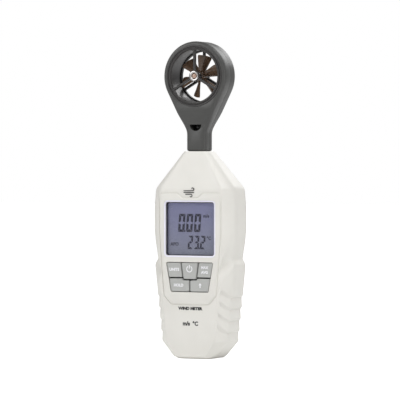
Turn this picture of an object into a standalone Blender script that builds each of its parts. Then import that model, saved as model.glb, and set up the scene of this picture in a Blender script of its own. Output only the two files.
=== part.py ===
"""Handheld weather meter: a vane wind and temperature sensor head on a two-shell body
with a display, five keys and a battery bay behind a sliding door.

It stands on its flat bottom. The origin is the middle of that bottom, +Z runs up through
the neck to the head, and the display faces -Y. All lengths are in metres.
"""
import math

import bmesh
import bpy
from mathutils import Matrix, Vector

MM = 0.001

# Fits
GAP = 0.3 * MM                 # between pieces that touch or slide on each other
EMBED = 0.5 * MM               # how far joined shapes run into each other

# Body shells
BODY_HEIGHT = 124.0 * MM
BODY_WIDTH = 54.0 * MM         # across the display
FRONT_Y = -13.2 * MM           # flat front of the body
BACK_Y = 14.0 * MM
PARTING_Y = -4.0 * MM          # where the two shells meet
WALL = 2.0 * MM
SLOPE_WALL = 2.5 * MM          # wall where the outside slopes
BOTTOM_EDGE = 0.8 * MM         # rounding of the bottom, and how far it leans in
BOTTOM_FRONT_LEAN = 2.2 * MM
BOTTOM_BACK_LEAN = 1.2 * MM
CHAMFER_HEIGHT = 10.4 * MM     # the corners are cut off at 45 degrees
CHAMFER_SIDE = 1.6 * MM        # from the battery tray out to the side above the cut corners
GRIP_SIDE = 6.2 * MM           # from the battery tray out to the side at the top of the grip
GRIP_EDGE = 1.5 * MM
GRIP_STEP = 4.0 * MM           # from the top of the grip up to the waist
WAIST_DROP = 64.0 * MM         # below the collar
WAIST_SIDE = 6.0 * MM          # from the display frame out to the side at the waist
WAIST_BLEND = 17.0 * MM        # height over which the waist widens again
SHOULDER_HEIGHT = 21.5 * MM    # sloping part below the collar
SHOULDER_INSET = 1.4 * MM
SHOULDER_BLEND = 12.5 * MM
SHOULDER_EDGE = 1.5 * MM
SHOULDER_LEAN = 0.6 * MM
COLLAR_WIDTH = 16.4 * MM
COLLAR_DEPTH = 13.0 * MM
COLLAR_WALL = 3.7 * MM         # from the collar down to the top of the cavity
CORNER_RADIUS = 6.0 * MM
COLLAR_RADIUS = 2.6 * MM
SMALLEST_RADIUS = 1.0 * MM     # of a corner inside the shells
RIB_COUNT = 4
RIB_PITCH = 7.0 * MM
RIB_LOW_Z = 16.2 * MM
RIB_DEPTH = 0.5 * MM
RIB_HALF_WIDTH = 1.1 * MM

# Raised panel around the display and the keys
PANEL_RISE = 0.6 * MM
PANEL_DROP = 25.6 * MM         # below the collar
PANEL_DIP = 2.7 * MM
PANEL_DIP_WIDTH = 17.0 * MM
PANEL_CORNER = 2.4 * MM
PANEL_WIDTH = 39.6 * MM
PANEL_TAPER_DROP = 21.9 * MM   # from the top of the panel down to where it narrows
PANEL_LOW_WIDTH = 33.6 * MM
PANEL_FOOT = 6.7 * MM          # below the keypad
PANEL_FOOT_SLOPE = 4.8 * MM
PANEL_BOTTOM_WIDTH = 24.4 * MM

# Display
WINDOW_WIDTH = 32.4 * MM
WINDOW_HEIGHT = 31.9 * MM
WINDOW_DROP = 4.7 * MM         # from the top of the panel down to the opening
WINDOW_RADIUS = 1.5 * MM
WINDOW_LIP = 1.0 * MM          # casing left in front of the window plate
WINDOW_THICKNESS = 1.0 * MM
GLASS_THICKNESS = 2.0 * MM
GLASS_MARGIN = 1.3 * MM        # border of the window and the glass behind the opening
GLASS_RADIUS = 1.0 * MM
BACKLIGHT_THICKNESS = 1.6 * MM
BACKLIGHT_MARGIN = 1.0 * MM
STRIP_HEIGHT = 1.2 * MM        # rubber contact strips above and below the backlight
STRIP_MARGIN = 1.5 * MM
FRAME_WALL = 0.8 * MM

# Main board
BOARD_FRONT_Y = -6.3 * MM
BOARD_THICKNESS = 1.6 * MM
BOARD_WIDTH = 36.0 * MM
BOARD_ABOVE_WINDOW = 8.3 * MM
BOARD_BELOW_KEYS = 3.0 * MM
CHIP_SIZE = 10.0 * MM
CHIP_HEIGHT = 1.4 * MM
CRYSTAL_X = 9.8 * MM
CRYSTAL_WIDTH = 3.5 * MM
CRYSTAL_LENGTH = 8.0 * MM
CRYSTAL_HEIGHT = 2.2 * MM
CAPACITOR_X = -12.0 * MM
CAPACITOR_RADIUS = 2.4 * MM
BUZZER_X = 9.0 * MM
BUZZER_DROP = 9.5 * MM         # below the top of the board
BUZZER_RADIUS = 4.4 * MM
TALL_PART_HEIGHT = 3.6 * MM    # of the capacitor and the buzzer
CONNECTOR_WIDTH = 6.8 * MM
CONNECTOR_LENGTH = 6.0 * MM
CONNECTOR_HEIGHT = 2.6 * MM
CONNECTOR_DROP = 1.0 * MM      # below the top of the board

# Keys
KEY_FRONT_Y = -14.0 * MM
KEY_THICKNESS = 2.4 * MM
KEY_TRAVEL = 0.8 * MM
KEY_SPACE = 0.75 * MM          # between neighbouring keys
KEYPAD_DROP = 3.9 * MM         # below the window
KEYPAD_HEIGHT = 17.9 * MM
KEYPAD_TOP_WIDTH = 31.8 * MM
KEYPAD_LOW_WIDTH = 25.2 * MM
LOWER_ROW_HEIGHT = 8.5 * MM    # up to the line between the two rows
POWER_KEY_RISE = 7.8 * MM      # from the bottom of the keypad up to the power key
POWER_TOP_WIDTH = 11.0 * MM
POWER_LOW_WIDTH = 8.2 * MM
KEY_CORNER = 0.7 * MM
STEM_RADIUS = 1.6 * MM
MAT_THICKNESS = 1.4 * MM
MAT_MARGIN = 1.4 * MM
MAT_GAP = 0.4 * MM             # around what the keys press on
SWITCH_SIZE = 4.4 * MM
SWITCH_HEIGHT = 1.3 * MM

# Battery bay
CELL_COUNT = 3
CELL_RADIUS = 5.25 * MM
CELL_LENGTH = 44.5 * MM
CELL_SPACE = 0.7 * MM          # between cells
CELL_EDGE = 0.4 * MM
CELL_TIP_RADIUS = 1.9 * MM
CELL_TIP = 1.0 * MM
BAY_LOW = 12.0 * MM
BAY_SPRING_SPACE = 2.6 * MM
BAY_WALL = 1.2 * MM
BAY_FLOOR_SPACE = 0.4 * MM     # between the cells and the floor of the bay
DOOR_SPACE = 0.5 * MM          # between the cells and the door
DOOR_BORDER = 0.4 * MM         # door beyond the bay at each side
CONTACT_THICKNESS = 0.4 * MM
CONTACT_SIZE = 8.4 * MM
SPRING_WIRE = 0.5 * MM
SPRING_TURNS = 3
SPRING_WIDE_RADIUS = 3.0 * MM
SPRING_NARROW_RADIUS = 1.8 * MM
DOOR_THICKNESS = 1.6 * MM
DOOR_TONGUE = 1.3 * MM         # tongue that runs in the groove of the rear shell
DOOR_TONGUE_THICKNESS = 1.1 * MM
DOOR_WEB = 0.8 * MM
DOOR_TONGUE_LOW = 26.0 * MM    # lower end of the tongues
DOOR_TRAVEL = 15.0 * MM        # downward slide until the tongues reach the groove's end

# Screws
SCREW_RADIUS = 1.0 * MM
SCREW_HEAD_RADIUS = 2.2 * MM
SCREW_HEAD = 1.6 * MM
SCREW_LENGTH = 16.0 * MM
SCREW_SEAT_Y = 8.0 * MM
BOSS_WALL = 1.1 * MM
POST_WALL = 1.0 * MM
LOWER_SCREW_Z = 6.2 * MM       # behind the battery door
LOWER_SCREW_SPREAD = 16.0 * MM
UPPER_SCREW_DROP = 19.0 * MM   # below the collar
UPPER_SCREW_SPREAD = 30.0 * MM
BOARD_SCREW_RADIUS = 0.8 * MM
BOARD_SCREW_SPREAD = 22.0 * MM
BOARD_SCREW_SPACE = 3.2 * MM   # above the display frame
BOARD_SCREW_LENGTH = 4.6 * MM

# Sensor head
HEAD_Y = -0.6 * MM             # middle plane of the neck and the head
NECK_LENGTH = 24.2 * MM        # from the collar up to the circle of the head
HEAD_RIM = 3.1 * MM            # shell around the duct barrel
HEAD_THICKNESS = 14.4 * MM
HEAD_EDGE = 2.2 * MM           # rounding of the rim
HEAD_WALL = 2.2 * MM
HEAD_TAPER = math.radians(27)  # slope of the sides below the duct, from the vertical
NECK_WIDTH = 12.8 * MM
NECK_THICKNESS = 10.4 * MM
NECK_FILLET = 9.0 * MM
NECK_CORNER = 0.9 * MM
HEAD_BEND_DROP = 10.5 * MM     # the neck starts to thicken this far below the head's circle
HEAD_BEND_HEIGHT = 10.4 * MM
SPIGOT_WIDTH = 10.0 * MM       # part of the neck inside the collar
SPIGOT_THICKNESS = 7.6 * MM
SPIGOT_LENGTH = 8.0 * MM
FLANGE_WIDTH = 15.0 * MM
FLANGE_THICKNESS = 1.8 * MM
CHANNEL_WIDTH = 8.4 * MM
VENT_RADIUS = 3.85 * MM
VENT_SPACE = 11.6 * MM         # from the barrel down to the flat top of the vent
HEAD_SCREW_SPREAD = 14.4 * MM
HEAD_SCREW_SPACE = 4.4 * MM    # below the barrel
HEAD_SCREW_RADIUS = 0.8 * MM
HEAD_SCREW_LENGTH = 6.5 * MM

# Air duct and impeller
DUCT_RADIUS = 15.6 * MM
DUCT_WALL = 1.8 * MM
DUCT_LIP = 0.6 * MM            # how far the ring stands out of the head
DUCT_EDGE = 0.4 * MM
SPOKE_COUNT = 3
SPOKE_WIDTH = 1.5 * MM
SPOKE_DEPTH = 2.0 * MM
SPOKE_INSET = 0.4 * MM         # behind the edge of the ring
BOSS_STEP = 0.15 * MM          # the hub boss and the rim stand this far out of the spokes
GUARD_RIM = 0.8 * MM
HUB_BOSS_RADIUS = 3.3 * MM
HUB_BOSS_DEPTH = 2.6 * MM
BEARING_RADIUS = 2.6 * MM
BEARING_BORE = 1.75 * MM
BEARING_DEPTH = 1.4 * MM
JEWEL_RADIUS = 1.4 * MM
JEWEL_DEPTH = 1.0 * MM
BEARING_STEP = 0.1 * MM        # bearing in front of the spokes, and twice as much to the jewel
SMALL_EDGE = 0.3 * MM          # bevel of the bearings and jewels
SHAFT_RADIUS = 0.5 * MM
SHAFT_TIP_RADIUS = 0.25 * MM
TIP_SPACE = 2.8 * MM           # between the blade tips and the duct
IMPELLER_HUB_RADIUS = 3.4 * MM
IMPELLER_HUB_DEPTH = 6.0 * MM
IMPELLER_HUB_EDGE = 0.6 * MM
IMPELLER_SETBACK = 1.2 * MM    # hub behind the middle plane
BLADE_COUNT = 6
FIRST_BLADE = math.radians(257)
BLADE_SETBACK = 0.4 * MM       # blades behind the middle of the hub
BLADE_EMBED = 0.8 * MM         # blade root inside the hub
BLADE_THICKNESS = 0.6 * MM
BLADE_ROOT_CHORD = 4.2 * MM
BLADE_TIP_CHORD = 9.2 * MM
BLADE_ROOT_PITCH = math.radians(-38)
BLADE_TIP_PITCH = math.radians(-53)
MAGNET_RADIUS = 2.6 * MM
MAGNET_DEPTH = 1.1 * MM
LEAD_RADIUS = 0.9 * MM

# Sensors in the head
PICKUP_Y = 0.6 * MM            # pick-up board behind the middle plane
PICKUP_HEIGHT = 7.0 * MM
PICKUP_THICKNESS = 0.8 * MM
COIL_RADIUS = 1.5 * MM
COIL_DEPTH = 1.8 * MM
COIL_DROP = 2.4 * MM
BEAD_RADIUS = 0.9 * MM
BEAD_DROP = 1.5 * MM           # temperature sensor below the top of the vent
BEAD_Y = 2.2 * MM              # temperature sensor in front of the middle plane

# Fineness of round shapes
FINE_STEPS = 48
ROUND_STEPS = 20
COARSE_STEPS = 12
CORNER_STEPS = 3
HEAD_STEPS = 11
VENT_STEPS = 10
BLADE_STATIONS = 4

# Sizes that follow from the ones above
PANEL_Y = FRONT_Y - PANEL_RISE
CAVITY_FRONT_Y = FRONT_Y + WALL
CAVITY_TOP = BODY_HEIGHT - COLLAR_WALL
WAIST_Z = BODY_HEIGHT - WAIST_DROP
GRIP_TOP = WAIST_Z - GRIP_STEP
SHOULDER_Z = BODY_HEIGHT - SHOULDER_HEIGHT
BARREL_RADIUS = DUCT_RADIUS + DUCT_WALL
HEAD_RADIUS = BARREL_RADIUS + GAP + HEAD_RIM
HEAD_Z = BODY_HEIGHT + NECK_LENGTH + HEAD_RADIUS
HEAD_HALF = HEAD_THICKNESS / 2
BARREL_HALF = HEAD_HALF + DUCT_LIP
PANEL_TOP = BODY_HEIGHT - PANEL_DROP
WINDOW_TOP = PANEL_TOP - WINDOW_DROP
WINDOW_Z = WINDOW_TOP - WINDOW_HEIGHT / 2
KEYPAD_TOP = WINDOW_TOP - WINDOW_HEIGHT - KEYPAD_DROP
KEYPAD_LOW = KEYPAD_TOP - KEYPAD_HEIGHT
KEY_ROW_Z = KEYPAD_LOW + LOWER_ROW_HEIGHT
POWER_KEY_LOW = KEYPAD_LOW + POWER_KEY_RISE
PANEL_BOTTOM = KEYPAD_LOW - PANEL_FOOT
BOARD_LOW = KEYPAD_LOW - BOARD_BELOW_KEYS
BOARD_TOP = WINDOW_TOP + BOARD_ABOVE_WINDOW
WINDOW_Y = PANEL_Y + WINDOW_LIP + GAP
GLASS_Y = WINDOW_Y + WINDOW_THICKNESS + GAP
BACKLIGHT_Y = GLASS_Y + GLASS_THICKNESS + GAP
GLASS_HALF_WIDTH = WINDOW_WIDTH / 2 + GLASS_MARGIN
GLASS_HALF_HEIGHT = WINDOW_HEIGHT / 2 + GLASS_MARGIN
FRAME_Y = max(GLASS_Y, CAVITY_FRONT_Y) + GAP
FRAME_BORDER = GAP + FRAME_WALL
BOARD_BACK_Y = BOARD_FRONT_Y + BOARD_THICKNESS
BOARD_SCREW_Z = WINDOW_Z + GLASS_HALF_HEIGHT + FRAME_BORDER + BOARD_SCREW_SPACE
UPPER_SCREW_Z = BODY_HEIGHT - UPPER_SCREW_DROP
BAY_TOP = BAY_LOW + CELL_LENGTH + BAY_SPRING_SPACE + 2 * (CONTACT_THICKNESS + GAP)
DOOR_INNER_Y = BACK_Y - DOOR_THICKNESS
CELL_PITCH = 2 * CELL_RADIUS + CELL_SPACE
CELL_Y = DOOR_INNER_Y - DOOR_SPACE - CELL_RADIUS
BAY_HALF_WIDTH = CELL_PITCH * (CELL_COUNT - 1) / 2 + CELL_RADIUS + CELL_SPACE
BAY_FLOOR_Y = CELL_Y - CELL_RADIUS - BAY_FLOOR_SPACE
DOOR_HALF_WIDTH = BAY_HALF_WIDTH + DOOR_BORDER
TRAY_HALF_WIDTH = DOOR_HALF_WIDTH + GAP + DOOR_TONGUE + BAY_WALL
DOOR_TOP = BAY_TOP + BAY_WALL
TONGUE_BACK_Y = DOOR_INNER_Y - GAP
TONGUE_FRONT_Y = TONGUE_BACK_Y - DOOR_TONGUE_THICKNESS
KEY_BACK_Y = KEY_FRONT_Y + KEY_THICKNESS
KEYPAD_CORNER = KEY_CORNER + KEY_SPACE / 2
MAT_Y = max(KEY_BACK_Y + KEY_TRAVEL + MAT_GAP, CAVITY_FRONT_Y + GAP)
SWITCH_Y = BOARD_FRONT_Y - GAP - SWITCH_HEIGHT
STEM_END_Y = SWITCH_Y - KEY_TRAVEL - MAT_GAP
IMPELLER_RADIUS = DUCT_RADIUS - TIP_SPACE
IMPELLER_Y = HEAD_Y + IMPELLER_SETBACK
BLADE_Y = IMPELLER_Y + BLADE_SETBACK
SPOKE_Y = BARREL_HALF - SPOKE_INSET     # outer faces of the spokes, from the middle plane
VENT_Z = HEAD_Z - BARREL_RADIUS - VENT_SPACE
CHANNEL_TOP = HEAD_Z - BARREL_RADIUS - GAP - HEAD_WALL / 2


# ---------------------------------------------------------------- materials

def material(name, colour, roughness, metallic=0.0, transmission=0.0):
    """A Principled material of one colour."""
    new = bpy.data.materials.new(name)
    new.use_nodes = True
    shader = new.node_tree.nodes["Principled BSDF"]
    shader.inputs["Base Color"].default_value = (*colour, 1.0)
    shader.inputs["Roughness"].default_value = roughness
    shader.inputs["Metallic"].default_value = metallic
    shader.inputs["Transmission Weight"].default_value = transmission
    return new


# ---------------------------------------------------------------- basic shapes

def finish_mesh(name, mesh_builder, surface):
    """Turn a bmesh into a named object with smooth shading and sharp corners."""
    bmesh.ops.recalc_face_normals(mesh_builder, faces=mesh_builder.faces)
    mesh = bpy.data.meshes.new(name)
    mesh_builder.to_mesh(mesh)
    mesh_builder.free()
    mesh.materials.append(surface)
    mesh.shade_smooth()
    mesh.set_sharp_from_angle(angle=math.radians(32))
    new = bpy.data.objects.new(name, mesh)
    bpy.context.collection.objects.link(new)
    return new


def box(name, low, high, surface):
    """A block between two corners."""
    shape = bmesh.new()
    middle = (Vector(low) + Vector(high)) / 2
    size = Vector(high) - Vector(low)
    bmesh.ops.create_cube(shape, size=1.0, matrix=Matrix.LocRotScale(middle, None, size))
    return finish_mesh(name, shape, surface)


def prism(name, outline, low, high, surface, axis="Y"):
    """An outline pushed along an axis: (x, z) points along Y, or (x, y) points along Z."""
    shape = bmesh.new()
    if axis == "Y":
        corners = [shape.verts.new((x, low, z)) for x, z in outline]
        push = Vector((0, high - low, 0))
    else:
        corners = [shape.verts.new((x, y, low)) for x, y in outline]
        push = Vector((0, 0, high - low))
    face = shape.faces.new(corners)
    pushed = bmesh.ops.extrude_face_region(shape, geom=[face])["geom"]
    moved = [item for item in pushed if isinstance(item, bmesh.types.BMVert)]
    bmesh.ops.translate(shape, verts=moved, vec=push)
    return finish_mesh(name, shape, surface)


def turned(name, profile, centre, surface, steps=ROUND_STEPS, axis="Y"):
    """A closed profile of (radius, distance along the axis) points turned about an axis."""
    shape = bmesh.new()
    corners = [shape.verts.new((radius, along, 0)) for radius, along in profile]
    edges = [shape.edges.new(pair) for pair in zip(corners, corners[1:])]
    if profile[0][0] > 0:
        edges.append(shape.edges.new((corners[-1], corners[0])))
    bmesh.ops.spin(shape, geom=corners + edges, cent=(0, 0, 0), axis=(0, 1, 0),
                   angle=math.tau, steps=steps, use_duplicate=False)
    bmesh.ops.remove_doubles(shape, verts=shape.verts, dist=0.001 * MM)
    if axis == "Z":
        bmesh.ops.rotate(shape, verts=shape.verts, cent=(0, 0, 0),
                         matrix=Matrix.Rotation(math.pi / 2, 3, "X"))
    bmesh.ops.translate(shape, verts=shape.verts, vec=centre)
    return finish_mesh(name, shape, surface)


def rod(name, radius, low, high, x, z, surface, steps=ROUND_STEPS):
    """A round bar along Y."""
    profile = [(0, low), (radius, low), (radius, high), (0, high)]
    return turned(name, profile, (x, 0, z), surface, steps)


def loft(name, rings, surface):
    """Rings of equally many points joined in order, with both ends closed."""
    shape = bmesh.new()
    rows = [[shape.verts.new(point) for point in ring] for ring in rings]
    for row, following in zip(rows, rows[1:]):
        for index in range(len(row)):
            after = (index + 1) % len(row)
            shape.faces.new((row[index], row[after], following[after], following[index]))
    shape.faces.new(rows[0])
    shape.faces.new(rows[-1])
    return finish_mesh(name, shape, surface)


def rounded_rectangle(width, height, radius, middle=(0, 0), steps=CORNER_STEPS):
    """Outline of a rectangle with round corners, about a middle point."""
    points = []
    for turn, (side, up) in enumerate(((1, 1), (-1, 1), (-1, -1), (1, -1))):
        for step in range(steps + 1):
            angle = math.pi / 2 * (turn + step / steps)
            points.append((middle[0] + side * (width / 2 - radius) + radius * math.cos(angle),
                           middle[1] + up * (height / 2 - radius) + radius * math.sin(angle)))
    return points


def rounded_outline(corners, radius, steps=CORNER_STEPS):
    """An outline, given anticlockwise, with every corner rounded by one radius."""
    points = []
    count = len(corners)
    for index in range(count):
        corner = Vector(corners[index])
        back = (Vector(corners[index - 1]) - corner).normalized()
        ahead = (Vector(corners[(index + 1) % count]) - corner).normalized()
        half_angle = back.angle(ahead) / 2
        centre = corner + (back + ahead).normalized() * radius / math.sin(half_angle)
        start = corner + back * radius / math.tan(half_angle) - centre
        turn = 1 if back.cross(ahead) < 0 else -1
        sweep = turn * (math.pi - 2 * half_angle)
        for step in range(steps + 1):
            points.append(tuple(centre + Matrix.Rotation(sweep * step / steps, 2) @ start))
    return points


def mirrored(right_half):
    """A closed outline from its right half, listed from one end of the middle line to the other."""
    inner = [(-x, other) for x, other in reversed(right_half) if x > 0]
    return list(right_half) + inner


def combine(target, tool, operation):
    """Cut a shape with another, join them, or keep what they share."""
    change = target.modifiers.new(operation.title() + " " + tool.name, "BOOLEAN")
    change.operation = operation
    change.solver = "EXACT"
    change.object = tool
    tool.hide_render = True
    tool.display_type = "WIRE"


def cut(target, *tools):
    for tool in tools:
        combine(target, tool, "DIFFERENCE")


def join(target, *tools):
    for tool in tools:
        combine(target, tool, "UNION")


def blend_rows(rows, height):
    """Row of sizes at a height, straight between the two nearest rows."""
    for low, high in zip(rows, rows[1:]):
        if height <= high[0]:
            share = (height - low[0]) / (high[0] - low[0])
            return [a + (b - a) * share for a, b in zip(low, high)]
    return list(rows[-1])


# ---------------------------------------------------------------- outer shape of the body

def body_rows():
    """Heights of the body with its half width, front, back and corner radius there."""
    half = BODY_WIDTH / 2
    grip = TRAY_HALF_WIDTH + GRIP_SIDE
    waist = GLASS_HALF_WIDTH + FRAME_BORDER + WAIST_SIDE
    chamfer = TRAY_HALF_WIDTH + CHAMFER_SIDE
    bottom = chamfer - CHAMFER_HEIGHT
    collar_front = HEAD_Y - COLLAR_DEPTH / 2
    collar_back = HEAD_Y + COLLAR_DEPTH / 2
    edge = BOTTOM_EDGE
    straight = (FRONT_Y, BACK_Y, CORNER_RADIUS)
    rows = [
        (0, bottom - edge, FRONT_Y + BOTTOM_FRONT_LEAN, BACK_Y - BOTTOM_BACK_LEAN,
         CORNER_RADIUS / 3),
        (edge, bottom + edge, FRONT_Y + BOTTOM_FRONT_LEAN - edge,
         BACK_Y - BOTTOM_BACK_LEAN + edge, CORNER_RADIUS / 2),
        (CHAMFER_HEIGHT, chamfer, *straight),
        (GRIP_TOP - GRIP_EDGE, grip, *straight),
        (GRIP_TOP, grip + (waist - grip) / 10, *straight),
        (WAIST_Z, waist, *straight),
        (WAIST_Z + 0.6 * WAIST_BLEND, half + 0.3 * (waist - half), *straight),
        (WAIST_Z + WAIST_BLEND, half, *straight),
        (SHOULDER_Z - SHOULDER_BLEND, half, *straight),
        (SHOULDER_Z - SHOULDER_EDGE, half - 0.6 * SHOULDER_INSET, FRONT_Y + SHOULDER_LEAN / 2,
         BACK_Y - SHOULDER_LEAN / 2, CORNER_RADIUS),
        (SHOULDER_Z, half - SHOULDER_INSET, FRONT_Y + SHOULDER_LEAN, BACK_Y - SHOULDER_LEAN,
         CORNER_RADIUS),
        (BODY_HEIGHT, COLLAR_WIDTH / 2, collar_front, collar_back, COLLAR_RADIUS),
    ]
    plain = list(rows)
    ribs = []
    for rib in range(RIB_COUNT):
        groove = RIB_LOW_Z + RIB_PITCH * rib
        for offset, depth in ((-RIB_HALF_WIDTH, 0), (0, RIB_DEPTH), (RIB_HALF_WIDTH, 0)):
            row = blend_rows(plain, groove + offset)
            ribs.append((row[0], row[1] - depth, *row[2:]))
    return sorted(rows + ribs)


def body_ring(row, inset):
    """Points around the body at one height, moved in by a wall."""
    height, half, front, back, radius = row
    half -= inset
    front += inset
    back -= inset
    radius = max(radius - inset, SMALLEST_RADIUS)
    right = [(0, front)]
    for step in range(CORNER_STEPS + 1):
        angle = math.pi / 2 * step / CORNER_STEPS
        right.append((half - radius + radius * math.sin(angle),
                      front + radius - radius * math.cos(angle)))
    for step in range(CORNER_STEPS + 1):
        angle = math.pi / 2 * step / CORNER_STEPS
        right.append((half - radius + radius * math.cos(angle),
                      back - radius + radius * math.sin(angle)))
    right.append((0, back))
    return [(x, y, height) for x, y in mirrored(right)]


def body_solid(name, surface):
    """The whole outer shape of the body."""
    return loft(name, [body_ring(row, 0) for row in body_rows()], surface)


def body_cavity(name, surface):
    """The hollow inside the body, with a thicker wall where the outside slopes."""
    rows = body_rows()
    heights = [WALL, CHAMFER_HEIGHT, GRIP_TOP, WAIST_Z, WAIST_Z + WAIST_BLEND,
               SHOULDER_Z - SHOULDER_BLEND, SHOULDER_Z - SHOULDER_EDGE, CAVITY_TOP]
    rings = []
    for height in heights:
        row = blend_rows(rows, height)
        sloping = height < CHAMFER_HEIGHT or height > SHOULDER_Z
        rings.append(body_ring(row, SLOPE_WALL if sloping else WALL))
    return loft(name, rings, surface)


# ---------------------------------------------------------------- casing

def case_screw_places():
    """(x, z) of the four screws that hold the shells together."""
    lower, upper = LOWER_SCREW_SPREAD / 2, UPPER_SCREW_SPREAD / 2
    return [(-lower, LOWER_SCREW_Z), (lower, LOWER_SCREW_Z),
            (-upper, UPPER_SCREW_Z), (upper, UPPER_SCREW_Z)]


def board_screw_places():
    """(x, z) of the two screws that hold the main board."""
    return [(-BOARD_SCREW_SPREAD / 2, BOARD_SCREW_Z), (BOARD_SCREW_SPREAD / 2, BOARD_SCREW_Z)]


def neck_socket(name, surface):
    """Opening in the collar that takes the spigot of the neck."""
    half_width = SPIGOT_WIDTH / 2 + GAP
    half_depth = SPIGOT_THICKNESS / 2 + GAP
    return box(name, (-half_width, HEAD_Y - half_depth, CAVITY_TOP - EMBED),
               (half_width, HEAD_Y + half_depth, BODY_HEIGHT + EMBED), surface)


def panel_outline():
    """Outline of the raised panel, with a shallow dip in its top edge."""
    dip = PANEL_DIP_WIDTH / 2
    half = PANEL_WIDTH / 2
    corner = PANEL_CORNER
    right = [(0, PANEL_BOTTOM), (PANEL_BOTTOM_WIDTH / 2, PANEL_BOTTOM),
             (PANEL_LOW_WIDTH / 2, PANEL_BOTTOM + PANEL_FOOT_SLOPE),
             (half, PANEL_TOP - PANEL_TAPER_DROP),
             (half, PANEL_TOP - corner), (half - 0.3 * corner, PANEL_TOP - 0.3 * corner),
             (half - corner, PANEL_TOP), (dip, PANEL_TOP), (0.6 * dip, PANEL_TOP - PANEL_DIP),
             (0, PANEL_TOP - PANEL_DIP)]
    return mirrored(right)


def keypad_edge(height):
    """Half width of the keypad opening at a height: it narrows downwards."""
    share = (height - KEYPAD_LOW) / (KEYPAD_TOP - KEYPAD_LOW)
    return (KEYPAD_LOW_WIDTH + (KEYPAD_TOP_WIDTH - KEYPAD_LOW_WIDTH) * share) / 2


def keypad_corners(margin):
    """Corners of the keypad opening, widened by a margin."""
    low, high = KEYPAD_LOW - margin, KEYPAD_TOP + margin
    return [(-keypad_edge(low) - margin, low), (keypad_edge(low) + margin, low),
            (keypad_edge(high) + margin, high), (-keypad_edge(high) - margin, high)]


def build_front_casing(look):
    casing = body_solid("front_casing", look)
    far = BODY_HEIGHT
    hollow = body_cavity("front_cavity", look)
    for number, (x, z) in enumerate(case_screw_places(), 1):
        cut(hollow, rod(f"boss_{number}", SCREW_RADIUS + GAP + BOSS_WALL, -far, PARTING_Y - GAP,
                        x, z, look))
    for number, (x, z) in enumerate(board_screw_places(), 1):
        cut(hollow, rod(f"board_boss_{number}", BOARD_SCREW_RADIUS + GAP + BOSS_WALL, -far,
                        BOARD_FRONT_Y - GAP, x, z, look))
    cut(casing, hollow,
        box("front_trim", (-far, PARTING_Y - GAP / 2, -far), (far, far, 2 * far), look))
    join(casing, prism("panel_blank", panel_outline(), PANEL_Y, FRONT_Y + EMBED, look))
    for number, (x, z) in enumerate(case_screw_places(), 1):
        cut(casing, rod(f"boss_hole_{number}", SCREW_RADIUS + GAP,
                        SCREW_SEAT_Y - SCREW_LENGTH - GAP, PARTING_Y + GAP, x, z, look, COARSE_STEPS))
    for number, (x, z) in enumerate(board_screw_places(), 1):
        cut(casing, rod(f"board_boss_hole_{number}", BOARD_SCREW_RADIUS + GAP,
                        BOARD_BACK_Y - BOARD_SCREW_LENGTH, BOARD_FRONT_Y + GAP, x, z, look, COARSE_STEPS))
    opening = rounded_rectangle(WINDOW_WIDTH, WINDOW_HEIGHT, WINDOW_RADIUS, (0, WINDOW_Z))
    seat = rounded_rectangle(2 * (GLASS_HALF_WIDTH + GAP), 2 * (GLASS_HALF_HEIGHT + GAP),
                             WINDOW_RADIUS, (0, WINDOW_Z))
    keypad = rounded_outline(keypad_corners(0), KEYPAD_CORNER)
    pocket = GAP + FRAME_BORDER
    cut(casing,
        plate("frame_pocket", GLASS_HALF_WIDTH + pocket, GLASS_HALF_HEIGHT + pocket,
              FRAME_Y - GAP, PARTING_Y - FRAME_Y, look),
        prism("window_opening", opening, PANEL_Y - EMBED, CAVITY_FRONT_Y + EMBED, look),
        prism("window_seat", seat, PANEL_Y + WINDOW_LIP, CAVITY_FRONT_Y + EMBED, look),
        prism("keypad_opening", keypad, PANEL_Y - EMBED, CAVITY_FRONT_Y + EMBED, look),
        neck_socket("front_socket", look))
    return casing


def build_rear_casing(look):
    casing = body_solid("rear_casing", look)
    far = BODY_HEIGHT
    opening = DOOR_HALF_WIDTH + GAP
    hollow = body_cavity("rear_cavity", look)
    cut(hollow, box("bay_block", (-TRAY_HALF_WIDTH, BAY_FLOOR_Y - BAY_WALL, -far),
                    (TRAY_HALF_WIDTH, BACK_Y + WALL, BAY_TOP + BAY_WALL), look))
    for number, (x, z) in enumerate(case_screw_places(), 1):
        cut(hollow, rod(f"post_{number}", SCREW_HEAD_RADIUS + GAP + POST_WALL, PARTING_Y + GAP,
                        BACK_Y + WALL, x, z, look))
    cut(casing, hollow,
        box("rear_trim", (-far, -far, -far), (far, PARTING_Y + GAP / 2, 2 * far), look),
        box("bay_hollow", (-BAY_HALF_WIDTH, BAY_FLOOR_Y, BAY_LOW),
            (BAY_HALF_WIDTH, BACK_Y - EMBED, BAY_TOP), look),
        box("door_opening", (-opening, TONGUE_BACK_Y, -EMBED),
            (opening, BACK_Y + EMBED, DOOR_TOP + GAP), look),
        box("door_groove", (-opening - DOOR_TONGUE, TONGUE_FRONT_Y - GAP,
                            DOOR_TONGUE_LOW - DOOR_TRAVEL - GAP),
            (opening + DOOR_TONGUE, TONGUE_BACK_Y + GAP, DOOR_TOP), look))
    for number, (x, z) in enumerate(case_screw_places(), 1):
        cut(casing,
            rod(f"screw_hole_{number}", SCREW_RADIUS + GAP, PARTING_Y - GAP, SCREW_SEAT_Y, x, z,
                look, COARSE_STEPS),
            rod(f"head_hole_{number}", SCREW_HEAD_RADIUS + GAP, SCREW_SEAT_Y - GAP,
                BACK_Y + 2 * EMBED, x, z, look))
    cut(casing, neck_socket("rear_socket", look))
    return casing


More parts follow.
